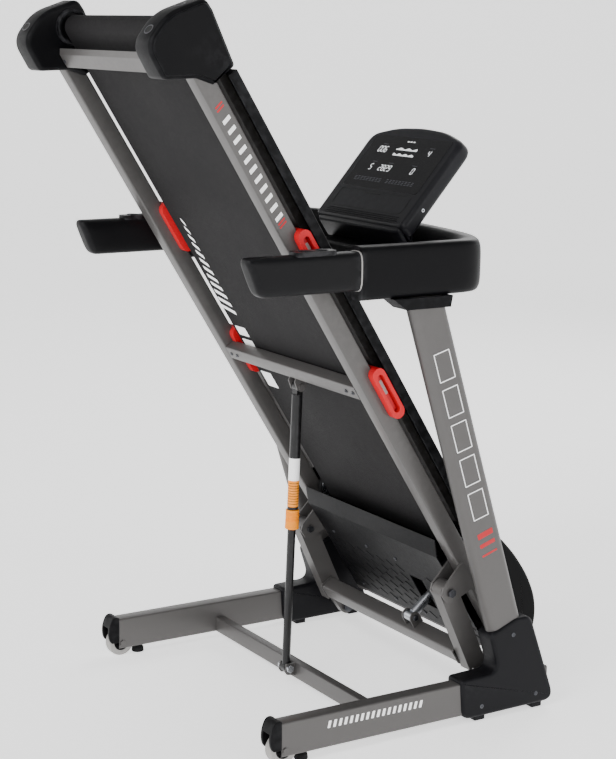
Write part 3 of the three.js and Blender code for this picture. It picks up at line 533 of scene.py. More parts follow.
class EffectGroups:
    """Effects that several materials share, each built once as a node group."""

    BROAD_SHARE = 0.6              # shares of the broad and the fine noise in the tone
    FINE_SHARE = 0.4
    TONE_GAIN = 4.0                # how strongly the noise moves the tone
    BENT_RANGE = (0.515, 0.60)     # how far an edge has to bend to be rubbed
    BROKEN_RANGE = (0.42, 0.62)    # which part of the noise leaves it unrubbed
    STREAK_SCALE = 0.12            # length of a streak against the pitch

    def __init__(self) -> None:
        """Builds every group."""
        self.tone = self.build_tone()
        self.wear = self.build_wear()
        self.dust = self.build_dust()
        self.grains = {
            Grain.MOULDED: self.build_cells("moulded_grain", 1.0, 0.35),
            Grain.PAINTED: self.build_cells("painted_grain", 0.0, 1.0),
            Grain.PRINTED: self.build_cells("printed_grain", 0.0, 0.4),
            Grain.WOVEN: self.build_weave(),
            Grain.BRUSHED: self.build_streaks("brushed_streaks", (1.0, 24.0, 24.0)),
            Grain.FIBRE: self.build_streaks("pressed_fibre", (1.0, 0.25, 3.0)),
        }

    @staticmethod
    def open_group(name: str, inputs: dict[str, str], outputs: dict[str, str]) -> tuple[Any, ...]:
        """Starts a group.

        Args:
            name: The group's name.
            inputs: Socket names and their types.
            outputs: Socket names and their types.

        Returns:
            The tree, its sheet, the inputs' node and the outputs' node.
        """
        tree = bpy.data.node_groups.new(name, "ShaderNodeTree")
        for way, sockets in (("INPUT", inputs), ("OUTPUT", outputs)):
            for label, kind in sockets.items():
                tree.interface.new_socket(label, in_out=way, socket_type="NodeSocket" + kind)
        return tree, NodeSheet(tree), tree.nodes.new("NodeGroupInput"), tree.nodes.new("NodeGroupOutput")

    def build_tone(self) -> bpy.types.NodeTree:
        """Tone that wanders over the surface: a broad noise and a fine one, added."""
        tree, sheet, given, out = self.open_group(
            "wandering_tone", {"Vector": "Vector", "Colour": "Color", "Amount": "Float"},
            {"Colour": "Color", "Value": "Float"})
        broad = sheet.node("TexNoise", {"Vector": given.outputs[0], "Scale": 5.0, "Detail": 3.0})
        fine = sheet.node("TexNoise", {"Vector": given.outputs[0], "Scale": 90.0, "Detail": 4.0})
        value = sheet.maths("ADD", sheet.maths("MULTIPLY", broad.outputs[0], self.BROAD_SHARE),
                            sheet.maths("MULTIPLY", fine.outputs[0], self.FINE_SHARE))
        swing = sheet.maths("MULTIPLY", sheet.maths("SUBTRACT", value, 0.5), given.outputs[2])
        gain = sheet.maths("ADD", sheet.maths("MULTIPLY", swing, self.TONE_GAIN), 1.0)
        shaded = sheet.node("VectorMath", {0: given.outputs[1], "Scale": gain}, operation="SCALE")
        tree.links.new(shaded.outputs[0], out.inputs[0])
        tree.links.new(value, out.inputs[1])
        return tree

    def build_wear(self) -> bpy.types.NodeTree:
        """Rubbed edges: where the surface bends outwards, broken up by noise."""
        tree, sheet, given, out = self.open_group(
            "edge_wear", {"Vector": "Vector", "Amount": "Float"}, {"Mask": "Float"})
        bend = sheet.node("NewGeometry").outputs["Pointiness"]
        edge = sheet.stretch(bend, *self.BENT_RANGE, 0.0, 1.0)
        noise = sheet.node("TexNoise", {"Vector": given.outputs[0], "Scale": 60.0, "Detail": 5.0})
        broken = sheet.stretch(noise.outputs[0], *self.BROKEN_RANGE, 0.0, 1.0)
        mask = sheet.maths("MULTIPLY", sheet.maths("MULTIPLY", edge, broken), given.outputs[1])
        tree.links.new(mask, out.inputs[0])
        return tree

    def build_dust(self) -> bpy.types.NodeTree:
        """Dust on what faces up: the normal's height above a half, broken up by noise."""
        tree, sheet, given, out = self.open_group(
            "settled_dust", {"Vector": "Vector", "Amount": "Float"}, {"Mask": "Float"})
        normal = sheet.node("NewGeometry").outputs["Normal"]
        height = sheet.node("SeparateXYZ", {0: normal}).outputs[2]
        noise = sheet.node("TexNoise", {"Vector": given.outputs[0], "Scale": 24.0, "Detail": 6.0})
        lying = sheet.maths("MULTIPLY", sheet.stretch(height, 0.5, 1.0, 0.0, 1.0),
                            sheet.stretch(noise.outputs[0], 0.35, 0.7, 0.2, 1.0))
        tree.links.new(sheet.maths("MULTIPLY", lying, given.outputs[1]), out.inputs[0])
        return tree

    def build_cells(self, name: str, cells: float, ripple: float) -> bpy.types.NodeTree:
        """A pebbled relief of one pitch: ripple x noise - cells x distance to the nearest cell's middle."""
        tree, sheet, given, out = self.open_group(
            name, {"Vector": "Vector", "Scale": "Float"}, {"Height": "Float"})
        pebble = sheet.node("TexVoronoi", {"Vector": given.outputs[0], "Scale": given.outputs[1]})
        soft = sheet.node("TexNoise", {"Vector": given.outputs[0], "Scale": given.outputs[1], "Detail": 2.0})
        height = sheet.maths("ADD", sheet.maths("MULTIPLY", pebble.outputs["Distance"], -cells),
                             sheet.maths("MULTIPLY", soft.outputs[0], ripple))
        tree.links.new(height, out.inputs[0])
        return tree

    def build_weave(self) -> bpy.types.NodeTree:
        """A plain weave: ridges |sin(2 pi x) sin(2 pi s)|, with x and s counted in threads."""
        tree, sheet, given, out = self.open_group(
            "belt_weave", {"Vector": "Vector", "Scale": "Float"}, {"Height": "Float"})
        threads = sheet.node("VectorMath", {0: given.outputs[0], "Scale": given.outputs[1]},
                             operation="SCALE")
        axes = sheet.node("SeparateXYZ", {0: threads.outputs[0]})
        across = sheet.maths("MULTIPLY", axes.outputs[0], 2 * math.pi)
        along = sheet.maths("MULTIPLY", axes.outputs[1], 2 * math.pi)
        warp, weft = sheet.maths("SINE", across), sheet.maths("SINE", along)
        height = sheet.maths("ABSOLUTE", sheet.maths("MULTIPLY", warp, weft))
        tree.links.new(height, out.inputs[0])
        return tree

    def build_streaks(self, name: str, stretch: tuple[float, float, float]) -> bpy.types.NodeTree:
        """Streaks: noise on coordinates that are stretched along one direction."""
        tree, sheet, given, out = self.open_group(
            name, {"Vector": "Vector", "Scale": "Float"}, {"Height": "Float"})
        drawn = sheet.node("VectorMath", {0: given.outputs[0], 1: stretch}, operation="MULTIPLY")
        scale = sheet.maths("MULTIPLY", given.outputs[1], self.STREAK_SCALE)
        noise = sheet.node("TexNoise", {"Vector": drawn.outputs[0], "Scale": scale, "Detail": 5.0})
        tree.links.new(noise.outputs[0], out.inputs[0])
        return tree


class Paintshop:
    """Turns finishes into materials, each made once."""

    DUST_COLOUR = (150, 147, 142)
    DUST_ROUGHNESS = 0.3           # what full dust adds to the roughness
    ROUGHNESS_SPREAD = 0.07        # how far the roughness wanders with the tone
    TONE_RANGE = (0.3, 0.7)        # the tone's values between which it does so
    BUMP_STRENGTH = 0.8
    COAT_ROUGHNESS = 0.12

    def __init__(self, deck: DeckPlaces) -> None:
        """Builds the shared effects and keeps the deck's slope for the weave."""
        self.effects = EffectGroups()
        self.made: dict[Finish, bpy.types.Material] = {}
        self.deck_tilt = math.atan2(deck.back[2], -deck.back[1])

    def material(self, finish: Finish) -> bpy.types.Material:
        """The material of a finish, made on first use."""
        if finish not in self.made:
            self.made[finish] = self.build(finish)
        return self.made[finish]

    def build(self, finish: Finish) -> bpy.types.Material:
        """Wires one finish: tone, then worn edges, then dust, over a fine relief.

        Args:
            finish: The finish.

        Returns:
            Its material.
        """
        made = bpy.data.materials.new(finish.name)
        made.use_nodes = True
        sheet = NodeSheet(made.node_tree)
        shader = made.node_tree.nodes["Principled BSDF"]
        vector = sheet.node("TexCoord").outputs["Object"]
        if finish.grain is Grain.WOVEN:
            turn = (self.deck_tilt, 0.0, 0.0)
            vector = sheet.node("Mapping", {"Vector": vector, "Rotation": turn}).outputs[0]
        seen = linear(finish.colour)
        tone = sheet.node("Group", {"Vector": vector, "Colour": seen, "Amount": finish.mottle},
                          node_tree=self.effects.tone)
        wear = sheet.node("Group", {"Vector": vector, "Amount": finish.wear}, node_tree=self.effects.wear)
        dust = sheet.node("Group", {"Vector": vector, "Amount": finish.dust}, node_tree=self.effects.dust)
        grain = sheet.node("Group", {"Vector": vector, "Scale": 1 / finish.pitch},
                           node_tree=self.effects.grains[finish.grain])
        rubbed = sheet.mix(wear.outputs[0], tone.outputs[0], linear(finish.worn))
        colour = sheet.mix(dust.outputs[0], rubbed, linear(self.DUST_COLOUR))
        smoothest = finish.roughness - self.ROUGHNESS_SPREAD
        roughest = finish.roughness + self.ROUGHNESS_SPREAD
        rough = sheet.stretch(tone.outputs[1], *self.TONE_RANGE, smoothest, roughest)
        dusty = sheet.maths("MULTIPLY", dust.outputs[0], self.DUST_ROUGHNESS)
        rough = sheet.maths("ADD", rough, dusty)
        links = made.node_tree.links
        links.new(colour, shader.inputs["Base Color"])
        links.new(rough, shader.inputs["Roughness"])
        if finish.relief > 0:
            bump = sheet.node("Bump", {"Height": grain.outputs[0], "Distance": finish.relief,
                                       "Strength": self.BUMP_STRENGTH})
            links.new(bump.outputs[0], shader.inputs["Normal"])
        shader.inputs["Metallic"].default_value = finish.metallic
        shader.inputs["Specular IOR Level"].default_value = finish.shine
        shader.inputs["Coat Weight"].default_value = finish.coat
        shader.inputs["Coat Roughness"].default_value = self.COAT_ROUGHNESS
        # Emission: the display's own light for lit marks, and a painted glow for white print.
        if finish.glow > 0:
            shader.inputs["Emission Color"].default_value = seen
            shader.inputs["Emission Strength"].default_value = finish.glow
        return made


# -------------------------------------------------------------------------------- workbench
class Workbench:
    """Makes objects of shapes, dresses them and puts them on their bodies."""

    CREASE = math.radians(32)          # an edge that bends by more is kept sharp
    FLAT = math.radians(0.8)           # faces that bend by less are joined
    ROUNDED = math.radians(20)         # an edge that bends by more is rounded
    WELD = 0.00001                     # points closer than this are one

    def __init__(self, paints: Paintshop) -> None:
        """Keeps the paintshop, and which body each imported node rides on."""
        self.paints = paints
        bodies = frame["record"]["behaviour"]["bodies"]
        self.body_of_node = {node: body for body, nodes in bodies.items() for node in nodes}

    def mesh(self, name: str, shape: Shape) -> bpy.types.Mesh:
        """Fills a mesh with a shape's points and faces in one go.

        Args:
            name: The mesh's name.
            shape: A closed shape.

        Returns:
            A smooth mesh with sharp edges where it bends by more than the crease angle.
        """
        made = bpy.data.meshes.new(name)
        corners = np.concatenate([part.ravel() for part in shape.faces]).astype(np.int32)
        sizes = np.concatenate([np.full(len(part), part.shape[1]) for part in shape.faces])
        starts = np.concatenate([[0], np.cumsum(sizes)[:-1]]).astype(np.int32)
        made.vertices.add(len(shape.points))
        made.loops.add(len(corners))
        made.polygons.add(len(sizes))
        made.vertices.foreach_set("co", shape.points.astype(np.float32).ravel())
        made.loops.foreach_set("vertex_index", corners)
        made.polygons.foreach_set("loop_start", starts)
        made.update(calc_edges=True)
        made.validate()
        made.shade_smooth()
        made.polygons.foreach_set("use_smooth", np.fromiter((p.loop_total <= 4 for p in made.polygons), bool))
        made.set_sharp_from_angle(angle=self.CREASE)
        return made

    def piece(self, name: str, shape: Shape, finish: Finish, body: str, replaces: Sequence[str] = ()
              ) -> bpy.types.Object:
        """Makes one piece of the machine.

        Args:
            name: The piece's name.
            shape: Its closed surface, in the part's frame.
            finish: Its finish.
            body: The body that it moves with.
            replaces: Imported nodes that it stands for.

        Returns:
            The object.
        """
        made = bpy.data.objects.new(name, self.mesh(name, shape))
        bpy.context.scene.collection.objects.link(made)
        made.data.materials.append(self.paints.material(finish))
        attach(made, body)
        if replaces:
            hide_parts(*replaces)
        LOG.info("%s on %s: %d faces, %s", name, body, len(made.data.polygons), finish.name)
        return made

    def instead_of(self, node: str, shape: Shape, finish: Finish) -> bpy.types.Object:
        """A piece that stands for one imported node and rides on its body."""
        return self.piece(f"{node}_shell", shape, finish, self.body_of_node[node], [node])

    def eased(self, node: str, finish: Finish, width: float = 0.0012, segments: int = 3) -> bpy.types.Object:
        """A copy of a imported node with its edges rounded.

        The node's loose triangles are merged and flat neighbours joined, in a copy; a Bevel modifier then
        rounds every edge that bends by more than the ROUNDED angle.

        Args:
            node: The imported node.
            finish: Its finish.
            width: Width of the rounding.
            segments: Stretches in the rounding.

        Returns:
            The object that stands for the node.
        """
        source = frame["nodes"][node].data
        points = np.empty(len(source.vertices) * 3, dtype=np.float32)
        corners = np.empty(len(source.loops), dtype=np.int32)
        source.vertices.foreach_get("co", points)
        source.loops.foreach_get("vertex_index", corners)
        cells = np.round(points.reshape(-1, 3) / self.WELD).astype(np.int64)
        _, first, number = np.unique(cells, axis=0, return_index=True, return_inverse=True)
        faces = number.ravel()[corners].reshape(-1, 3)
        real = (faces != np.roll(faces, 1, 1)).all(1)
        shape = Shape(points.reshape(-1, 3)[first].astype(float), [faces[real]])
        made = self.piece(f"{node}_eased", shape, finish, self.body_of_node[node], [node])
        work = bmesh.new()
        work.from_mesh(made.data)
        bmesh.ops.dissolve_limit(work, angle_limit=self.FLAT, verts=work.verts, edges=work.edges)
        work.to_mesh(made.data)
        work.free()
        made.data.set_sharp_from_angle(angle=self.CREASE)
        bevel = made.modifiers.new("rounding", "BEVEL")
        bevel.width = width
        bevel.segments = segments
        bevel.limit_method = "ANGLE"
        bevel.angle_limit = self.ROUNDED
        bevel.harden_normals = True
        bevel.use_clamp_overlap = True
        return made


# ----------------------------------------------------------------------------- sub-assemblies
@dataclass
class FloorFrame:
    """The floor rails with their ends, wheels and feet, the crossbars and the moulded covers."""

    bench: Workbench
    rail_easing: float = 0.0014
    cap_easing: float = 0.0024
    cover_rim: float = 0.008
    pad_middles: tuple[float, float] = (0.063, 0.233)
    pad_half_length: float = 0.015
    pad_height: float = 0.016
    pad_margin: float = 0.008
    screw_radius: float = 0.0052
    screw_height: float = 0.0010
    screw_sink: float = 0.0002
    tyre_share: float = 0.60
    hub_bore: float = 0.0062
    cover_corners: tuple[tuple[float, float], ...] = (
        (0.000, 0.109), (0.008, 0.011), (0.284, 0.013), (0.201, 0.237), (0.158, 0.236), (0.081, 0.206),
        (0.112, 0.112))
    cover_radii: tuple[float, ...] = (0.011, 0.028, 0.026, 0.026, 0.040, 0.016, 0.026)
    cover_screws: tuple[tuple[float, float], ...] = ((0.149, 0.198), (0.223, 0.039), (0.062, 0.037))

    def build(self) -> None:
        """Builds both sides and the crossbars."""
        for name, side in SIDES.items():
            self.bench.eased(f"base_rail_{name}", FRAME_GREY, self.rail_easing)
            self.bench.eased(f"rail_end_cap_{name}", BLACK_SHELL, self.cap_easing, 4)
            self.bench.eased(f"rear_foot_{name}", SOLID_RUBBER, 0.001)
            self.wheel(name)
            self.cover(name, side)
        self.bench.eased("rear_crossbar", FRAME_GREY)
        self.bench.eased("front_crossbar", FRAME_GREY)

    def wheel(self, name: str) -> None:
        """A transport wheel: a grey tyre on a dark hub with a sunk face.

        Args:
            name: Side of the machine.
        """
        low, high = corner_boxes(f"transport_wheel_{name}")
        middle, radius = (low + high) / 2, (high[2] - low[2]) / 2
        half = (high[0] - low[0]) / 2
        basis = Basis(middle, Y, Z, X)
        bead, wall, edge = radius * self.tyre_share, radius * 0.93, radius * 0.98
        tyre = [(bead, -half), (wall, -half), (edge, -half * 0.86), (radius, -half * 0.6),
                (radius, half * 0.6), (edge, half * 0.86), (wall, half), (bead, half)]
        self.bench.instead_of(f"transport_wheel_{name}", turned(tyre, basis, 56, closed=True), TREAD_GREY)
        face, sunk = half * 0.86, half * 0.5
        hub = [(self.hub_bore, -face), (bead * 0.4, -face), (bead * 0.5, -sunk), (bead * 0.85, -sunk),
               (bead * 0.9, -face), (bead, -face), (bead, face), (bead * 0.9, face),
               (bead * 0.85, sunk), (bead * 0.5, sunk), (bead * 0.4, face), (self.hub_bore, face)]
        shape = turned(hub, basis, 40, closed=True)
        self.bench.piece(f"wheel_hub_{name}", shape, BLACK_SHELL, f"wheel_{name}")

    def cover(self, name: str, side: int) -> None:
        """The moulded cover over the joint of rail and upright, with two pads and its screws.

        Args:
            name: Side of the machine.
            side: 1 for right, -1 for left.
        """
        low, high = corner_boxes("base_cover_right")
        outline = softened(self.cover_corners, self.cover_radii, 8) + (low[1], low[2])
        parts = [slab(outline, low[0], high[0], SIDE_ON, self.cover_rim, 6)]
        for y in self.pad_middles:
            start = (low[1] + y - self.pad_half_length, low[2], low[0] + self.pad_margin)
            end = (low[1] + y + self.pad_half_length, low[2] + self.pad_height, high[0] - self.pad_margin)
            parts.append(brick(start, end, SIDE_ON, 0.003, 0.0015))
        self.bench.instead_of(f"base_cover_{name}", together(parts).on_side(side), COVER_SHELL)
        screws = []
        for y, z in self.cover_screws:
            basis = Basis(np.array([high[0] - self.screw_sink, low[1] + y, low[2] + z]), Y, Z, X)
            screws.append(socket_screw(self.screw_radius, self.screw_height, basis))
        self.bench.piece(f"cover_screws_{name}", together(screws).on_side(side), STEEL_DARK, "base")


@dataclass
class Uprights:
    """The two leaning posts with the collars that carry the handlebars."""

    bench: Workbench
    section_length: float = 0.097
    section_width: float = 0.040
    collar_easing: float = 0.004

    def middle_y(self, z: float | Array) -> float | Array:
        """Where a post's middle line is at a height."""
        low, high = corner_boxes("upright_right")
        half = self.section_length / 2
        share = (z - low[2]) / (high[2] - low[2])
        return high[1] - half + (low[1] - high[1] + 2 * half) * share

    def outline(self) -> Array:
        """A flat oval: two half circles joined by straight sides."""
        radius = self.section_width / 2
        straight = self.section_length / 2 - radius
        turn = np.linspace(0, math.pi, 17)
        far = np.stack([radius * np.cos(turn), straight + radius * np.sin(turn)], 1)
        return np.concatenate([far, -far])

    def build(self) -> None:
        """Builds both posts and collars."""
        low, high = corner_boxes("upright_right")
        middle_x = (low[0] + high[0]) / 2
        oval = self.outline()
        levels = np.linspace(low[2], high[2], 9)
        rings = np.stack([
            PLAN.place(middle_x + oval[:, 0], self.middle_y(z) + oval[:, 1], z) for z in levels])
        for name, side in SIDES.items():
            self.bench.instead_of(f"upright_{name}", lofted(rings).on_side(side), FRAME_GREY)
            self.bench.eased(f"collar_{name}", BLACK_SHELL, self.collar_easing, 4)


@dataclass
class Handlebars:
    """The U-shaped moulding with its pedestal, the two grips behind it and their rocker keys."""

    bench: Workbench
    width: float = 0.050
    corner_radius: float = 0.068
    corner_turn: float = 75
    nose_depth: float = 0.062
    nose_start: float = 0.340
    nose_taper: float = 0.090
    nose_sag: float = 0.35
    pedestal_half_width: float = 0.160
    pedestal_run: tuple[float, float] = (0.1657, 0.3077)
    pedestal_top: float = 1.0872
    pedestal_lift: float = 0.018
    roundness: float = 4.2
    grip_roundness: float = 3.6
    grip_lean: float = 0.41
    end_rim: float = 0.014
    key_frame: tuple[float, float] = (0.018, 0.052)
    key_frame_height: float = 0.0065
    key_well: tuple[float, float] = (0.0125, 0.0335)
    key_dish: float = 0.0022
    key_drop: float = 0.0012
    # Rings of the pale band at each grip's joint, a painted highlight line: (how far back, how far out).
    highlight_rings: tuple[tuple[float, float], ...] = (
        (0.0035, -0.002), (0.0030, 0.0012), (0.0002, 0.0012), (-0.0001, -0.002))

    def plan_line(self, gap: float) -> Array:
        """Half of the moulding's plan, from the grip to the middle: straight, arc, then y = nose - sag x^2.

        Args:
            gap: Distance in from the outer line.

        Returns:
            Points as (n, 2).
        """
        low, high = corner_boxes("handle_frame")
        side, radius = high[0] - gap, self.corner_radius - gap
        corner_y = high[1] - self.nose_depth - self.corner_radius
        turn = np.radians(np.linspace(0, self.corner_turn, 12))
        arc = np.stack([side - radius + radius * np.cos(turn), corner_y + radius * np.sin(turn)], 1)
        x = np.linspace(self.nose_start, 0, 16)
        drawn_in = gap * 0.5 * np.minimum(x / self.nose_taper, 1)
        nose = np.stack([x - drawn_in, high[1] - gap - self.nose_sag * x * x], 1)
        straight = np.array([[high[0] - gap, low[1]]])
        return np.concatenate([straight, arc, nose])

    def build(self) -> None:
        """Builds the moulding, both grips and both keys."""
        self.moulding()
        for name, side in SIDES.items():
            self.grip(name, side)
            self.key(name)

    def moulding(self) -> None:
        """The U, a rounded box section between the outer and the inner plan line, and the pedestal."""
        low, high = corner_boxes("handle_frame")
        outer = smoothed(evenly(self.plan_line(0.0), 60), 6)
        inner = smoothed(evenly(self.plan_line(self.width), 60), 6)
        outer = np.concatenate([outer, outer[-2::-1] * (-1, 1)])
        inner = np.concatenate([inner, inner[-2::-1] * (-1, 1)])
        section = superellipse(1.0, (high[2] - low[2]) / 2, self.roundness, 44)
        middle, reach = (outer + inner) / 2, (outer - inner) / 2
        plan = middle[:, None] + reach[:, None] * section[None, :, :1]
        height = np.broadcast_to((low[2] + high[2]) / 2 + section[:, 1], plan.shape[:2])
        bar = lofted(np.concatenate([plan, height[..., None]], 2))
        near, far = self.pedestal_run
        start = (-self.pedestal_half_width, near, low[2] + self.pedestal_lift)
        end = (self.pedestal_half_width, far, self.pedestal_top)
        pedestal = brick(start, end, PLAN, 0.014, 0.008)
        self.bench.instead_of("handle_frame", together([bar, pedestal]), BLACK_SHELL)

    def grip(self, name: str, side: int) -> None:
        """A grip: a rounded section drawn back to a leaning, rounded end, with the key's raised frame.

        A ring's lean grows with the share p of the way back as p^2 (3 - 2 p).

        Args:
            name: Side of the machine.
            side: 1 for right, -1 for left.
        """
        low, high = corner_boxes("grip_right")
        top = high[2] - self.key_frame_height
        middle_x, middle_z = (low[0] + high[0]) / 2, (low[2] + top) / 2
        half_x, half_z = (high[0] - low[0]) / 2, (top - low[2]) / 2
        end = low[1] + self.grip_lean * half_z
        turns = np.linspace(0, math.pi / 2, 7)
        along = np.concatenate([np.linspace(0, 1, 14)[:-1], np.ones(len(turns))])
        shrink = np.concatenate([np.zeros(13), self.end_rim * (1 - np.cos(turns))])
        extra = np.concatenate([np.zeros(13), self.end_rim * np.sin(turns)])
        unit = superellipse(1.0, 1.0, self.grip_roundness, 44)
        rings = []
        for share, less, further in zip(along, shrink, extra):
            x = middle_x + unit[:, 0] * (half_x - less)
            rise = unit[:, 1] * (half_z - less)
            start = high[1] + (end + self.end_rim - high[1]) * share - further
            ease = share * share * (3 - 2 * share)
            rings.append(PLAN.place(x, start - self.grip_lean * ease * rise, middle_z + rise))
        body = lofted(np.stack(rings))
        key_low, key_high = corner_boxes("rocker_key_right")
        key_x, key_y = (key_low[0] + key_high[0]) / 2, (key_low[1] + key_high[1]) / 2
        basis = Basis(np.array([key_x, key_y, 0.0]), X, Y, Z)
        (outer_x, outer_y), (well_x, well_y) = self.key_frame, self.key_well
        frame_outer = rectangle(-outer_x, outer_x, -outer_y, outer_y, 0.010)
        frame_inner = rectangle(-well_x, well_x, -well_y, well_y, 0.003)
        raised = hollow_slab(frame_outer, frame_inner, top - 0.006, high[2], basis)
        self.bench.instead_of(f"grip_{name}", together([body, raised]).on_side(side), GRIP_FOAM)
        # A pale grey band round the grip's joint: a painted highlight line where the joint catches the light.
        highlight_seam = lofted(np.stack([
            PLAN.place(middle_x + unit[:, 0] * (half_x + grow), high[1] - back,
                       middle_z + unit[:, 1] * (half_z + grow))
            for back, grow in self.highlight_rings]))
        self.bench.piece(f"grip_highlight_seam_{name}", highlight_seam.on_side(side), TREAD_GREY, "base")

    def key(self, name: str) -> None:
        """A rocker key: its top is top - dish (1 - |y|)^1.5 - drop |y|^6, with y from -1 to 1 along it.

        Args:
            name: Side of the machine.
        """
        low, high = corner_boxes(f"rocker_key_{name}")
        y = np.linspace(-1, 1, 25)
        half_y = (high[1] - low[1]) / 2
        top = high[2] - self.key_dish * (1 - np.abs(y)) ** 1.5 - self.key_drop * np.abs(y) ** 6
        line = np.stack([(low[1] + high[1]) / 2 + half_y * 0.97 * y, top], 1)
        base = low[2] + 0.0026
        outline = np.concatenate([line, [[line[-1, 0], base], [line[0, 0], base]]])
        shape = slab(outline, low[0] + 0.0005, high[0] - 0.0005, SIDE_ON, 0.0007, 3)
        self.bench.instead_of(f"rocker_key_{name}", shape, CONSOLE_SHELL)


@dataclass
class Console:
    """The leaning console with its glass, lit figures, lid line, speaker ribs and neck."""

    bench: Workbench
    tilt: float = math.radians(49)
    face_foot: float = 0.053
    half_width: float = 0.190
    shoulder: float = 0.268
    thickness: float = 0.042
    rim: float = 0.013
    crown: float = 0.024
    neck_half_width: float = 0.176
    glass: tuple[float, float, float, float] = (-0.1594, 0.1594, 0.0962, 0.2560)
    figure_height: float = 0.0165
    slant: float = 0.16
    figures_shown: tuple[tuple[str, float, float], ...] = (
        ("006", -0.112, 0.205), ("4", 0.094, 0.205), ("5", -0.098, 0.150), ("2829", -0.058, 0.150),
        ("0", 0.078, 0.150))
    lines_shown: tuple[tuple[float, float], ...] = (
        (-0.106, 0.228), (0.090, 0.228), (-0.100, 0.1735), (-0.030, 0.1735), (0.068, 0.1735))

    def basis(self) -> Basis:
        """Outlines on the console's face, x across and v up the slope, depth towards the runner."""
        low, _ = corner_boxes("console_housing")
        up = np.array([0, math.cos(self.tilt), math.sin(self.tilt)])
        out = np.array([0, -math.sin(self.tilt), math.cos(self.tilt)])
        return Basis(np.array([0.0, low[1], low[2] + self.face_foot]), X, up, out)

    def build(self) -> None:
        """Builds the housing, its trim and what is lit on the glass."""
        face = self.basis()
        self.housing(face)
        self.trim(face)
        self.figures(face)

    def housing(self, face: Basis) -> None:
        """The shell: a crowned slab with round rims, and a chin that drops to the neck.

        Args:
            face: The console's face.
        """
        low, _ = corner_boxes("console_housing")
        side, top = self.half_width, self.shoulder + self.crown
        outline = softened([(-side, 0.0), (side, 0.0), (side, top - 0.031), (0.100, top - 0.006), (0.0, top),
                            (-0.100, top - 0.006), (-side, top - 0.031)],
                           (0.018, 0.018, 0.040, 0.30, 0.55, 0.30, 0.040), 8)
        shell = slab(outline, -self.thickness, 0.0, face, self.rim, 7)
        back, bottom = low[1], low[2]
        chin = softened([
            (back + 0.010, bottom + 0.058), (back + 0.043, bottom + 0.090), (back + 0.049, bottom),
            (back + 0.031, bottom), (back + 0.001, bottom + 0.043)], (0.003, 0.006, 0.004, 0.004, 0.010))
        neck = slab(chin, -self.neck_half_width, self.neck_half_width, SIDE_ON, 0.009, 6)
        self.bench.instead_of("console_housing", together([shell, neck]), CONSOLE_SHELL)
        a0, a1, b0, b1 = self.glass
        pane = slab(rectangle(a0, a1, b0, b1, 0.010), -0.0015, 0.0006, face, 0.0005, 3)
        self.bench.instead_of("console_display", pane, SCREEN_GLASS)

    def trim(self, face: Basis) -> None:
        """The lid's groove line, the finger slot as a plate of painted shade, the speaker ribs, and the small side
        connector.

        Args:
            face: The console's face.
        """
        outer = rectangle(-0.150, 0.150, 0.036, 0.090, 0.016)
        lid = hollow_slab(outer, inset(outer, 0.0012), 0.0, 0.0005, face)
        # The finger slot is a thin black plate on the face: painted shade that stands for the slot's recess.
        slot = slab(rectangle(-0.040, 0.020, 0.0815, 0.0855, 0.002), 0.0, 0.0006, face)
        self.bench.piece("console_lid_line", together([lid, slot]), BLACK_PRINT_AND_SHADE, "base")
        rib = slab(rectangle(-0.0030, 0.0030, -0.0007, 0.0007, 0.0006), 0.0, 0.0011, face, 0.0003, 2)
        columns, rows = np.meshgrid(np.linspace(-0.148, 0.148, 38), np.arange(4))
        stagger = (rows % 2) * 0.004
        places = (columns + stagger).ravel()[:, None] * face.across
        places = places + (0.012 + 0.0052 * rows.ravel())[:, None] * face.along
        self.bench.piece("console_speaker_ribs", rib.repeated(places), HOOD_SHELL, "base")
        middle = face.place(self.half_width - 0.0006, 0.070, -self.thickness / 2)
        edge = Basis(middle, face.along, face.depth, X)
        ring = turned([(0.0022, 0), (0.0042, 0), (0.0042, 0.0010), (0.0022, 0.0010)], edge, 24, closed=True)
        self.bench.piece("console_connector", ring, STEEL_BRIGHT, "base")

    def strokes(self, digit: str, x: float, v: float, size: float) -> list[Array]:
        """The strokes of one seven-segment figure, each a slanted bar.

        Args:
            digit: The figure.
            x: Its left edge.
            v: Its foot.
            size: Its height.

        Returns:
            Outlines on the glass.
        """
        lit = {"0": "abcdef", "2": "abged", "4": "fgbc", "5": "afgcd", "6": "afgedc", "8": "abcdefg",
               "9": "abcdfg"}
        wide, thick = size * 0.52, size * 0.115
        ends = {"a": (0, 1, 1, 1), "b": (1, 0.5, 1, 1), "c": (1, 0, 1, 0.5), "d": (0, 0, 1, 0),
                "e": (0, 0, 0, 0.5), "f": (0, 0.5, 0, 1), "g": (0, 0.5, 1, 0.5)}
        bars = []
        for name in lit[digit]:
            p, q = np.reshape(ends[name], (2, 2)) * (wide, size)
            middle, reach = (p + q) / 2, (q - p) / 2
            run = np.linalg.norm(reach)
            ahead = reach / run
            beside = np.array([-ahead[1], ahead[0]]) * thick / 2
            shank = ahead * (run - thick * 0.75)
            tip = ahead * (run - thick * 0.15)
            corners = (-tip, -shank - beside, shank - beside, tip, shank + beside, -shank + beside)
            bar = np.array(corners) + middle
            bars.append(bar + np.stack([x + self.slant * bar[:, 1], np.full(len(bar), v)], 1))
        return bars

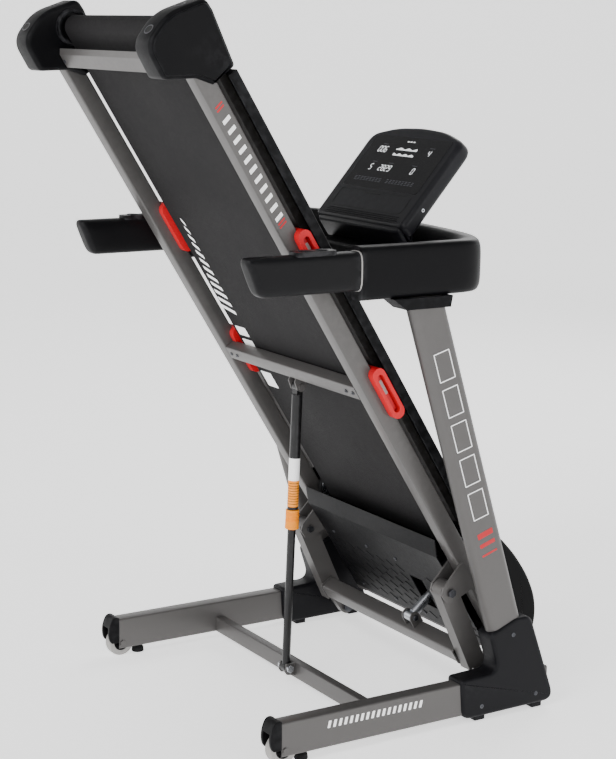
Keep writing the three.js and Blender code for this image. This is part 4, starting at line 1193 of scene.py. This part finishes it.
    def figures(self, face: Basis) -> None:
        """Lit figures and bar rows on the glass, three dots over them, and dim lines of print.

        Args:
            face: The console's face.
        """
        lit: list[Array] = []
        size = self.figure_height
        for text, x, v in self.figures_shown:
            for number, digit in enumerate(text):
                lit += self.strokes(digit, x + number * size * 0.78, v, size)
        lit.append(rectangle(-0.0995, -0.0978, 0.2050, 0.2067, 0.0003))
        lit += [rectangle(-0.0310, -0.0293, v, v + 0.0017, 0.0003) for v in (0.1545, 0.1605)]
        steps = np.arange(20)
        upper, lower = 2 + 2.5 * np.sin(steps * 0.42) ** 2, 2 + 2.5 * np.cos(steps * 0.55) ** 2
        left = -0.040 + steps * 0.0043
        for foot, heights in ((0.215, upper), (0.198, lower)):
            lit += [rectangle(a, a + 0.0036, foot, foot + 0.0016 * h, 0.0004) for a, h in zip(left, heights)]
        self.bench.piece("lit_figures", self.printed(lit, face), LIT_MARK, "base")
        bright = [rectangle(-0.016 + 0.012 * k, -0.008 + 0.012 * k, 0.240, 0.2435, 0.0012) for k in range(3)]
        self.bench.piece("glass_dots", self.printed(bright, face), WHITE_PRINT_PAINTED_GLOW, "base")
        dim = [rectangle(x, x + 0.020, v, v + 0.0016, 0.0006) for x, v in self.lines_shown]
        for x0 in (-0.128, 0.008):
            dim += [rectangle(x0 + 0.013 * k, x0 + 0.013 * k + 0.009, v, v + 0.0022, 0.0008)
                    for k in range(9) for v in (0.116, 0.1205, 0.125)]
        self.bench.piece("glass_labels", self.printed(dim, face), PRINT_DIM, "base")

    @staticmethod
    def printed(outlines: Sequence[Array], face: Basis) -> Shape:
        """Thin plates of several outlines, standing just proud of the glass."""
        return together([slab(outline, 0.0005, 0.0008, face) for outline in outlines])


@dataclass
class LiftFrame:
    """The two arms and the cross tube that carry the deck, with their pivot bolts."""

    bench: Workbench
    bolt_radius: float = 0.0075
    lug_faces: tuple[float, float] = (0.086, 0.124)
    lug_hole: tuple[float, float] = (0.128, -0.077)
    bead_width: float = 0.0022
    bead_run: tuple[float, float] = (0.2925, 0.2966)

    def build(self, deck: DeckPlaces) -> None:
        """Builds the arms, the tube and every bolt.

        Args:
            deck: The deck's places.
        """
        for name in SIDES:
            self.bench.eased(f"lift_arm_{name}", FRAME_GREY, 0.0022, 4)
            self.bench.eased(f"lift_pivot_bolt_{name}", STEEL_DARK, 0.0008)
            self.bench.eased(f"fold_pivot_bolt_{name}", STEEL_DARK, 0.0008)
        self.bench.eased("lift_cross_tube", FRAME_GREY)
        self.lug_bolt(deck)
        self.end_welds(deck)

    def lug_bolt(self, deck: DeckPlaces) -> None:
        """The cap screw heads on the lug's two cheeks.

        Args:
            deck: The deck's places.
        """
        x_low, x_high = self.lug_faces
        place = deck.side_on().place(*self.lug_hole, 0.0)
        right = Basis(place + X * x_high, Y, Z, X)
        left = Basis(place + X * x_low, Y, Z, -X)
        heads = [socket_screw(self.bolt_radius, 0.005, basis) for basis in (right, left)]
        self.bench.piece("lug_bolt_heads", together(heads), STEEL_DARK, "lift_frame")

    def end_welds(self, deck: DeckPlaces) -> None:
        """Plain weld beads round the cross tube where it meets each arm.

        Args:
            deck: The deck's places.
        """
        line = rectangle(0.067, 0.107, -0.103, -0.063, 0.004)
        bead = hollow_slab(inset(line, -self.bead_width), line, *self.bead_run, deck.side_on())
        self.bench.piece("lift_frame_welds", together([bead, bead.mirrored()]), FRAME_GREY, "lift_frame")


@dataclass
class Deck:
    """The deck: tubes, crossbars, board, belt, foot rails, end caps and cushion blocks."""

    bench: Workbench
    places: DeckPlaces
    belt_half_width: float = 0.255
    belt_outer: float = 0.0273
    belt_inner: float = 0.0253
    cap_rim: float = 0.010
    panel_margin: float = 0.0075
    panel_height: float = 0.004
    scoop_middles: tuple[float, float] = (0.062, -0.024)
    scoop_size: tuple[float, float] = (0.0150, 0.0110)
    scoop_ring: float = 0.0022
    rear_face_start: float = 1.757
    cap_corners: tuple[tuple[float, float], ...] = (
        (1.613, 0.031), (1.645, 0.004), (1.683, -0.0625), (1.762, -0.0605), (1.792, 0.014), (1.771, 0.1065),
        (1.7420, 0.1085), (1.6190, 0.0940))
    cap_radii: tuple[float, ...] = (0.003, 0.020, 0.016, 0.045, 0.110, 0.030, 0.020, 0.010)
    cushion_middles: tuple[float, ...] = (0.800, 1.175)
    ridge_run: tuple[float, float] = (0.400, 1.600)
    ridge_levels: tuple[float, float] = (0.0922, 0.0934)
    ridge_half_width: float = 0.0014
    screw_places: tuple[tuple[float, float, float], ...] = (
        (0.250, 0.818, 0.0), (0.278, 0.818, 0.0), (0.262, 1.672, -0.002))

    def build(self) -> None:
        """Builds the whole deck."""
        for name, side in SIDES.items():
            self.bench.eased(f"deck_tube_{name}", FRAME_GREY, 0.0012)
            self.end_cap(name, side)
            self.foot_rail(name, side)
            for end in ("front", "rear"):
                self.bench.eased(f"damper_{name}_{end}", CUSHION_RED, 0.0032, 4)
            self.cushion_inserts(name, side)
        for node in ("deck_mid_crossbar", "deck_front_crossbar", "deck_rear_plate"):
            self.bench.eased(node, FRAME_GREY, 0.0009)
        self.bench.eased("deck_board", BOARD_WOOD, 0.0012)
        self.bench.eased("rear_roller", STEEL_BRIGHT, 0.0008)
        self.bench.eased("front_roller", STEEL_BRIGHT, 0.0008)
        self.belt()
        self.crossbar_screws()

    def belt_line(self, radius: float) -> Array:
        """The line round both rollers: two half circles joined by straight runs.

        Args:
            radius: Distance from the roller centres.

        Returns:
            Points as (n, 2) in (s, n).
        """
        turn = np.linspace(-math.pi / 2, math.pi / 2, 33)
        arc = np.stack([radius * np.cos(turn), radius * np.sin(turn)], 1)
        rear = arc + (self.places.rear_roller_s, self.places.ROLLER_N)
        front = -arc + (self.places.FRONT_ROLLER_S, self.places.ROLLER_N)
        return np.concatenate([rear, front])

    def belt(self) -> None:
        """The running belt: a band between two such lines."""
        half = self.belt_half_width
        band = hollow_slab(self.belt_line(self.belt_outer), self.belt_line(self.belt_inner), -half, half,
                           self.places.side_on())
        self.bench.instead_of("running_belt", band, BELT_CLOTH)

    def end_cap(self, name: str, side: int) -> None:
        """A rear end cap: a rounded shell with a proud side panel, a boss round the roller, and scoops.

        Args:
            name: Side of the machine.
            side: 1 for right, -1 for left.
        """
        low, high = corner_boxes("deck_end_cap_right")
        lay = self.places.side_on()
        outline = softened(self.cap_corners, self.cap_radii, 8)
        shell = slab(outline, low[0], high[0] - self.panel_height, lay, self.cap_rim, 6)
        panel = slab(inset(outline, self.panel_margin), low[0] + 0.03, high[0], lay, 0.0035, 5)
        roller = Basis(lay.place(self.places.rear_roller_s, self.places.ROLLER_N, 0.0), Y, Z, X)
        inner, root = 0.0335, low[0] + 0.002
        boss = turned([(inner, low[0] - 0.011), (0.0375, low[0] - 0.0125), (0.0405, low[0] - 0.010),
                       (0.0425, root), (inner, root)], roller, 48, closed=True)
        cap = together([shell, panel, boss])
        self.bench.instead_of(f"deck_end_cap_{name}", cap.on_side(side), BLACK_SHELL)
        self.scoops(name, side, (low[0] + high[0]) / 2, outline)

    def scoops(self, name: str, side: int, middle: float, outline: Array) -> None:
        """Oval scoops on the cap's rear face, each a proud ring of lighter grey, a painted highlight on its rim,
        round a dark disc of painted shade that stands for the hollow.

        Args:
            name: Side of the machine.
            side: 1 for right, -1 for left.
            middle: The cap's middle across the machine.
            outline: The cap's outline.
        """
        rear = outline[outline[:, 0] > self.rear_face_start]
        rear = rear[np.argsort(rear[:, 1])]
        rings, hollow_shades = [], []
        step = 0.01
        for n in self.scoop_middles:
            s_low, s_mid, s_high = np.interp((n - step, n, n + step), rear[:, 1], rear[:, 0])
            run = np.array([s_high - s_low, 2 * step]) / math.hypot(s_high - s_low, 2 * step)
            along = run[0] * self.places.back + run[1] * self.places.out
            depth = run[1] * self.places.back - run[0] * self.places.out
            lay = Basis(self.places.side_on().place(s_mid, n, middle), X, along, depth)
            oval = anticlockwise(superellipse(*self.scoop_size, 2.2, 36))
            # The proud ring is lighter grey: a painted highlight on the scoop's rim.
            rings.append(hollow_slab(oval, inset(oval, self.scoop_ring), -0.004, 0.0008, lay))
            # The dark disc is painted shade that stands for the scoop's hollow.
            hollow_shades.append(slab(inset(oval, 0.0018), -0.003, 0.0003, lay))
        self.bench.piece(f"end_cap_rim_highlights_{name}", together(rings).on_side(side), SCOOP_RIM_HIGHLIGHT, "deck")
        self.bench.piece(f"end_cap_hollow_shades_{name}", together(hollow_shades).on_side(side), BLACK_PRINT_AND_SHADE, "deck")

    def foot_rail(self, name: str, side: int) -> None:
        """A foot rail with long grip ridges on its top.

        Args:
            name: Side of the machine.
            side: 1 for right, -1 for left.
        """
        self.bench.eased(f"foot_rail_{name}", BLACK_SHELL, 0.0012)
        outline = rectangle(-self.ridge_half_width, self.ridge_half_width, *self.ridge_run, 0.0012)
        ridge = slab(outline, *self.ridge_levels, self.places.face(), 0.0005, 2)
        ridges = ridge.repeated(np.linspace(0.274, 0.334, 9)[:, None] * X)
        self.bench.piece(f"foot_rail_ridges_{name}", ridges.on_side(side), SOLID_RUBBER, "deck")

    def cushion_inserts(self, name: str, side: int) -> None:
        """The bright block in each cushion block's window, and the plain pale tag on it.

        Args:
            name: Side of the machine.
            side: 1 for right, -1 for left.
        """
        lay = self.places.side_on()
        inserts = [slab(rectangle(s - 0.050, s + 0.050, 0.0370, 0.0500, 0.0060), 0.3348, 0.3415, lay,
                        0.0015, 3) for s in self.cushion_middles]
        self.bench.piece(f"cushion_inserts_{name}", together(inserts).on_side(side), PRINT_RED, "deck")
        tags = [slab(rectangle(s - 0.004, s + 0.034, 0.0390, 0.0480, 0.0015), 0.3410, 0.3420, lay,
                     0.0003, 2) for s in self.cushion_middles]
        self.bench.piece(f"cushion_tags_{name}", together(tags).on_side(side), TREAD_GREY, "deck")

    def crossbar_screws(self) -> None:
        """Screw heads under the ends of the middle crossbar and the rear plate."""
        under = -self.places.out
        screws = []
        for x, s, level in self.screw_places:
            place = self.places.face().place(x, s, level)
            screws.append(socket_screw(0.0048, 0.0026, Basis(place, X, self.places.back, under)))
        both = [screw for right in screws for screw in (right, right.mirrored())]
        self.bench.piece("deck_screws", together(both), STEEL_DARK, "deck")


@dataclass
class Drive:
    """What sits in the motor bay: hood, pan, motor, drive belt, actuator and power panel."""

    bench: Workbench
    places: DeckPlaces
    hood_rim: float = 0.006
    hood_wall: float = 0.009
    hood_lap: float = 0.0005
    hood_line: tuple[tuple[float, float], ...] = (
        (0.384, 0.095), (0.300, 0.130), (0.222, 0.147), (0.150, 0.151), (0.090, 0.143), (0.046, 0.122),
        (0.014, 0.092), (-0.004, 0.060), (-0.006, 0.046))
    hood_lining: tuple[tuple[float, float], ...] = (
        (0.380, 0.0905), (0.299, 0.1265), (0.222, 0.1435), (0.150, 0.1475), (0.092, 0.1396), (0.049, 0.1193),
        (0.017, 0.090), (-0.0008, 0.0585), (-0.002, 0.046))
    pan_face: float = -0.0160
    tread_turn: float = math.radians(33)
    tread_height: float = 0.0011
    tread_sink: float = 0.0004
    tread_step: float = 0.044
    row_step: float = 0.029
    lug_middle: float = 0.105
    lug_clearance: float = 0.043
    lug_run: tuple[float, float] = (0.094, 0.222)

    def build(self) -> None:
        """Builds the motor bay."""
        self.hood()
        self.bench.eased("motor_pan", PAN_SHELL, 0.0014)
        self.pan_relief()
        self.bench.eased("drive_motor", STRUT_BLACK, 0.0016)
        self.bench.eased("motor_pulley", STEEL_BRIGHT, 0.0008)
        self.bench.eased("drive_belt", SOLID_RUBBER, 0.0005)
        self.bench.eased("power_panel", BLACK_SHELL, 0.0005)
        self.bench.eased("power_rocker", CUSHION_RED, 0.0005)
        self.bench.eased("actuator_body", STEEL_DARK, 0.0012)
        self.bench.eased("actuator_rod", STEEL_BRIGHT, 0.0010)

    def hood(self) -> None:
        """The hood: a smooth arched sheet, with a rounded wall at each end, open below."""
        low, high = corner_boxes("motor_hood")
        lay = self.places.side_on()
        outer, inner = (smoothed(evenly(np.array(line), 49), 8)
                        for line in (self.hood_line, self.hood_lining))
        reach = self.hood_wall - self.hood_lap
        sheet = slab(np.concatenate([outer, inner[::-1]]), low[0] + reach, high[0] - reach, lay)
        wall = np.concatenate([outer, [[outer[0, 0], outer[-1, 1]]]])
        end = slab(wall, high[0] - self.hood_wall, high[0], lay, self.hood_rim, 5)
        self.bench.instead_of("motor_hood", together([sheet, end, end.mirrored()]), HOOD_SHELL)

    def pan_relief(self) -> None:
        """Tread bars on the pan's underside, slanted both ways and clear of the lug, and its screws."""
        lay = self.places.face()
        bar = rectangle(-0.016, 0.016, -0.0016, 0.0016, 0.0015)
        cosine, sine = math.cos(self.tread_turn), math.sin(self.tread_turn)
        spin = np.array([[cosine, -sine], [sine, cosine]])
        low, high = self.pan_face - self.tread_height, self.pan_face + self.tread_sink
        lug_low, lug_high = self.lug_run
        rows = np.arange(0.072, 0.246, self.row_step)
        parts = []
        for number, way in enumerate((spin, spin.T)):
            shape = slab(bar @ way, low, high, lay, 0.0006, 2)
            columns = np.arange(-0.262 + 0.022 * number, 0.266, self.tread_step)
            x, s = (grid.ravel() for grid in np.meshgrid(columns, rows))
            offset = x[:, None] * X + s[:, None] * self.places.back
            clear = (np.abs(x - self.lug_middle) > self.lug_clearance) | (s > lug_high) | (s < lug_low)
            parts.append(shape.repeated(offset[clear]))
        self.bench.piece("motor_pan_treads", together(parts), PAN_SHELL, "deck")
        places = [lay.place(x, s, self.pan_face)
                  for x in (-0.235, -0.08, 0.05, 0.235) for s in (0.066, 0.2495)]
        heads = [socket_screw(0.005, 0.0028, Basis(place, X, self.places.back, -self.places.out))
                 for place in places]
        self.bench.piece("motor_pan_screws", together(heads), STEEL_DARK, "deck")


@dataclass
class Strut:
    """The folding strut: pin, two tubes, the release sleeve and plain labels."""

    bench: Workbench
    tube_radius: float = 0.013
    label_sink: float = 0.0004
    label_height: float = 0.00035
    line_height: float = 0.0012
    sleeve_radius: float = 0.017
    sleeve_chamfer: float = 0.0012
    sleeve_gap: float = 0.0006
    white_label: tuple[float, float] = (0.520, 0.575)
    orange_label: tuple[float, float] = (0.455, 0.520)

    def build(self) -> None:
        """Builds the strut."""
        foot = joint_place("strut_swing")
        axis = next(np.array(j["axis"], dtype=float) for j in frame["joints"] if j["name"] == "release")
        axis /= np.linalg.norm(axis)
        lay = Basis(foot, X, np.cross(axis, X), axis)
        self.bench.eased("strut_pin", STEEL_BRIGHT, 0.0008)
        self.bench.eased("strut_lower_tube", STRUT_BLACK, 0.0008)
        self.bench.eased("strut_upper_tube", STRUT_BLACK, 0.0008)
        self.sleeve(lay)
        for name, (z0, z1), finish in (("strut_label_plain", self.white_label, WHITE_PRINT_PAINTED_GLOW),
                                       ("strut_label_orange", self.orange_label, SLEEVE_ORANGE)):
            h0, h1 = ((z - foot[2]) / axis[2] for z in (z0, z1))
            inner, outer = self.tube_radius - self.label_sink, self.tube_radius + self.label_height
            band = turned([(inner, h0), (outer, h0), (outer, h1), (inner, h1)], lay, 48, closed=True)
            self.bench.piece(name, band, finish, "strut_upper")
        self.label_marks(lay, foot, axis)

    def sleeve(self, lay: Basis) -> None:
        """The release sleeve: a thicker foot, grip ribs and chamfered ends.

        Over the ribbed stretch its radius ripples by 0.0006 cos(90 p), with p the share of the way up.

        Args:
            lay: The strut's own directions.
        """
        low, high = corner_boxes("release_sleeve")
        foot = lay.origin
        ends = (low[2] + self.sleeve_gap, high[2] - self.sleeve_gap)
        h0, h1 = ((z - foot[2]) / lay.depth[2] for z in ends)
        share = np.linspace(0, 1, 49)
        ribbed = (share > 0.45) & (share < 0.9)
        radius = self.sleeve_radius - 0.0008 + np.where(ribbed, 0.0006 * np.cos(share * 90), 0.0005)
        radius = np.where(share < 0.12, self.sleeve_radius, radius)
        radius[[0, -1]] -= self.sleeve_chamfer
        outside = np.stack([radius, h0 + (h1 - h0) * share], 1)
        bore = self.tube_radius + self.sleeve_gap
        profile = np.concatenate([outside, [[bore, h1], [bore, h0]]])
        self.bench.instead_of("release_sleeve", turned(profile, lay, 56, closed=True), SLEEVE_ORANGE)

    def label_marks(self, lay: Basis, foot: Array, axis: Array) -> None:
        """Plain dark lines round the orange label.

        Args:
            lay: The strut's own directions.
            foot: The strut's foot pin.
            axis: The strut's direction.
        """
        radius = self.tube_radius + 0.0003
        inner, outer, height = radius - 0.0004, radius + 0.0002, self.line_height
        line = turned([(inner, 0), (outer, 0), (outer, height), (inner, height)], lay, 48, closed=True)
        low, high = self.orange_label
        z = np.linspace(low + 0.007, high - 0.007, 9)
        lines = line.repeated(((z - foot[2]) / axis[2])[:, None] * axis)
        self.bench.piece("strut_label_lines", lines, BLACK_PRINT_AND_SHADE, "strut_upper")


def leaning_bar(start: float, width: float, lean: float, low: float, high: float, radius: float) -> Array:
    """A short upright bar whose top is moved on by its lean.

    Args:
        start: Where its foot starts.
        width: Its width.
        lean: How far on its top starts.
        low: Height of its foot.
        high: Height of its top.
        radius: Radius of its corners.

    Returns:
        Its outline.
    """
    foot = [(start, low), (start + width, low)]
    top = [(start + (width + lean), high), (start + lean, high)]
    return softened(foot + top, radius, 3)


@dataclass
class Prints:
    """Plain stripes and slanted bars printed on posts, rails, tube and belt."""

    bench: Workbench
    uprights: Uprights
    places: DeckPlaces
    thickness: float = 0.0003
    sink: float = 0.0002
    box_count: int = 5
    box_top: float = 0.893
    box_step: float = 0.083
    box_height: float = 0.066
    box_line: float = 0.0022
    red_top: float = 0.462
    red_step: float = 0.026
    red_heights: tuple[float, ...] = (0.013, 0.009, 0.0045)
    mark_width: float = 0.046
    rail_inset: float = 0.0030
    tube_face: float = 0.3345
    dash_count: int = 12
    dash_x: float = -0.198
    belt_bars: tuple[tuple[float, float], ...] = (
        (0.890, 0.862), (0.850, 0.800), (0.788, 0.760), (0.748, 0.700))

    def build(self) -> None:
        """Builds every print."""
        self.upright_marks()
        self.rail_marks()
        self.tube_marks()
        self.belt_marks()

    def upright_marks(self) -> None:
        """Outlined slanted bars down each post's outer face, and three red bars under them."""
        _, high = corner_boxes("upright_right")
        x0, x1 = high[0] - self.sink, high[0] + self.thickness
        frames, reds = [], []
        for number in range(self.box_count):
            top = self.box_top - self.box_step * number
            corners = self.slanted(top, top - self.box_height, self.mark_width, 0.012)
            frames.append(hollow_slab(corners, inset(corners, self.box_line), x0, x1, SIDE_ON))
        for number, height in enumerate(self.red_heights):
            top = self.red_top - self.red_step * number
            reds.append(slab(self.slanted(top, top - height, self.mark_width, 0.014), x0, x1, SIDE_ON))
        for name, side in SIDES.items():
            self.bench.piece(f"upright_outlines_{name}", together(frames).on_side(side), WHITE_PRINT_PAINTED_GLOW, "base")
            self.bench.piece(f"upright_red_bars_{name}", together(reds).on_side(side), PRINT_RED, "base")

    def slanted(self, top: float, bottom: float, width: float, slant: float) -> Array:
        """A parallelogram across a post between two heights, rising towards the console.

        Args:
            top: Its upper height.
            bottom: Its lower height.
            width: Its width across the post.
            slant: How much higher its front end is.

        Returns:
            Its outline in (y, z).
        """
        half = width / 2
        corners = [(-half, bottom - slant / 2), (half, bottom + slant / 2), (half, top + slant / 2),
                   (-half, top - slant / 2)]
        placed = [(float(self.uprights.middle_y(z)) + y, z) for y, z in corners]
        return softened(placed, 0.0015, 3)

    def rail_marks(self) -> None:
        """A row of short bars along the outer face of each floor rail."""
        _, high = corner_boxes("base_rail_right")
        face = high[0] - self.rail_inset
        x0, x1 = face - 2 * self.sink, face + self.thickness
        starts = -0.134 + 0.0146 * np.arange(18)
        bars = [slab(leaning_bar(y, 0.007, 0.004, 0.066, 0.083, 0.0012), x0, x1, SIDE_ON) for y in starts]
        for name, side in SIDES.items():
            self.bench.piece(f"rail_stripe_{name}", together(bars).on_side(side), WHITE_PRINT_PAINTED_GLOW, "base")

    def tube_marks(self) -> None:
        """Short bars along each deck tube's outer face, with two red ones at either end."""
        lay = self.places.side_on()
        x0, x1 = self.tube_face - self.sink / 2, self.tube_face + self.thickness
        starts = 1.285 + 0.0243 * np.arange(11)
        white = [slab(leaning_bar(s, 0.009, 0.005, 0.010, 0.031, 0.001), x0, x1, lay) for s in starts]
        red = [slab(leaning_bar(s, 0.004, 0.005, 0.010, 0.031, 0.001), x0, x1, lay)
               for s in (1.268, 1.276, 1.558, 1.566)]
        for name, side in SIDES.items():
            self.bench.piece(f"deck_tube_bars_{name}", together(white).on_side(side), WHITE_PRINT_PAINTED_GLOW, "deck")
            self.bench.piece(f"deck_tube_ticks_{name}", together(red).on_side(side), PRINT_RED, "deck")

    def belt_marks(self) -> None:
        """Slanted dashes that grow along the belt's edge, and plain bars after them."""
        lay = self.places.face()
        level = self.places.ROLLER_N - Deck.belt_outer
        low, high = level - self.thickness, level + self.sink
        parts = []
        for number in range(self.dash_count):
            s = 1.205 - 0.024 * number
            size = 0.010 + 0.0042 * number
            near, far = self.dash_x, self.dash_x - size
            outline = softened([(near, s), (near, s - 0.011), (far, s + 0.003), (far, s + 0.014)], 0.001, 3)
            parts.append(slab(outline, low, high, lay))
        parts += [slab(rectangle(-0.245, -0.196, s1, s0, 0.003), low, high, lay) for s0, s1 in self.belt_bars]
        self.bench.piece("belt_marks", together(parts), WHITE_PRINT_PAINTED_GLOW, "deck")


# ------------------------------------------------------------------------------------ studio
@dataclass
class Studio:
    """A pale floor that curves up far away, soft lights and the camera."""

    camera_place: tuple[float, float, float] = (3.6159, -2.18703, 1.6039)
    azimuth: float = math.radians(58.356)
    elevation: float = math.radians(11.35)
    roll: float = 0.01227
    lens: float = 85.74
    shift: tuple[float, float] = (0.0125, 0.0083)
    floor_flat: float = 8.5
    floor_end: float = 16.0
    floor_rise: float = 7.0
    floor_gap: float = 0.0003
    floor_grey: tuple[int, int, int] = (246, 246, 246)
    floor_glow: float = 1.1
    surround: float = 0.38
    aim: tuple[float, float, float] = (0, 0, 0.7)
    soft_lights: tuple[tuple[str, tuple[float, float, float], float, float], ...] = (
        ("key", (1.6, -4.2, 4.4), 2.6, 160.0), ("side", (5.0, 1.2, 2.6), 2.4, 34.0),
        ("back", (-2.6, 3.6, 3.4), 2.4, 75.0))

    def build(self) -> None:
        """Builds everything that isn't the machine."""
        self.floor()
        self.lights()
        self.camera()

    def floor(self) -> None:
        """A round floor whose height is rise ((r - flat) / (end - flat))^2 beyond its flat part."""
        flat, end = self.floor_flat, self.floor_end
        radius = np.concatenate([[0.01], np.linspace(1, flat, 8), np.linspace(flat, end, 24)[1:]])
        turn = np.linspace(0, 2 * math.pi, 96, endpoint=False)
        lift = self.floor_rise * (np.maximum(radius - flat, 0) / (end - flat)) ** 2
        x, y = radius[:, None] * np.stack([np.cos(turn), np.sin(turn)])[:, None]
        z = np.broadcast_to(lift[:, None] - self.floor_gap, x.shape)
        points = np.stack([x, y, z], -1).reshape(-1, 3)
        mesh = bpy.data.meshes.new("studio_floor")
        faces = grid_faces(len(radius), len(turn))
        mesh.from_pydata(points.tolist(), [], faces.tolist() + [list(range(len(turn)))[::-1]])
        mesh.shade_smooth()
        floor = bpy.data.objects.new("studio_floor", mesh)
        bpy.context.scene.collection.objects.link(floor)
        paint = bpy.data.materials.new("studio_floor")
        paint.use_nodes = True
        shader = paint.node_tree.nodes["Principled BSDF"]
        shader.inputs["Base Color"].default_value = linear(self.floor_grey)
        shader.inputs["Roughness"].default_value = 0.9
        shader.inputs["Emission Color"].default_value = (1.0, 1.0, 1.0, 1.0)
        shader.inputs["Emission Strength"].default_value = self.floor_glow
        mesh.materials.append(paint)

    def lights(self) -> None:
        """One large soft light over the camera's left, two fills and a pale surround."""
        world = bpy.data.worlds.new("surround")
        world.use_nodes = True
        background = world.node_tree.nodes["Background"]
        background.inputs["Color"].default_value = (1.0, 1.0, 1.0, 1.0)
        background.inputs["Strength"].default_value = self.surround
        bpy.context.scene.world = world
        target = Vector(self.aim)
        for name, place, size, power in self.soft_lights:
            data = bpy.data.lights.new(name, "AREA")
            data.size, data.energy = size, power
            light = bpy.data.objects.new(name, data)
            light.location = place
            light.rotation_euler = (target - Vector(place)).to_track_quat("-Z", "Y").to_euler()
            bpy.context.scene.collection.objects.link(light)

    def camera(self) -> None:
        """The camera, looking along its azimuth and elevation with a slight roll."""
        a, e = self.azimuth, self.elevation
        back = Vector((math.sin(a) * math.cos(e), -math.cos(a) * math.cos(e), math.sin(e)))
        right = Vector((math.cos(a), math.sin(a), 0))
        up = back.cross(right)
        c, s = math.cos(self.roll), math.sin(self.roll)
        axes = (c * right + s * up, -s * right + c * up, back)
        data = bpy.data.cameras.new("camera")
        data.sensor_width, data.lens = 36.0, self.lens
        data.shift_x, data.shift_y = self.shift
        camera = bpy.data.objects.new("camera", data)
        matrix = Matrix([axis[:] for axis in axes]).transposed().to_4x4()
        matrix.translation = Vector(self.camera_place)
        camera.matrix_world = matrix
        bpy.context.scene.collection.objects.link(camera)
        bpy.context.scene.camera = camera


def main() -> None:
    """Builds the studio, then the machine's sub-assemblies in order."""
    logging.basicConfig(level=logging.INFO, format="%(name)s: %(message)s")
    Studio().build()
    places = DeckPlaces()
    bench = Workbench(Paintshop(places))
    uprights = Uprights(bench)
    FloorFrame(bench).build()
    uprights.build()
    Handlebars(bench).build()
    Console(bench).build()
    LiftFrame(bench).build(places)
    Deck(bench, places).build()
    Drive(bench, places).build()
    Strut(bench).build()
    Prints(bench, uprights, places).build()


if __name__ == "__main__":
    main()
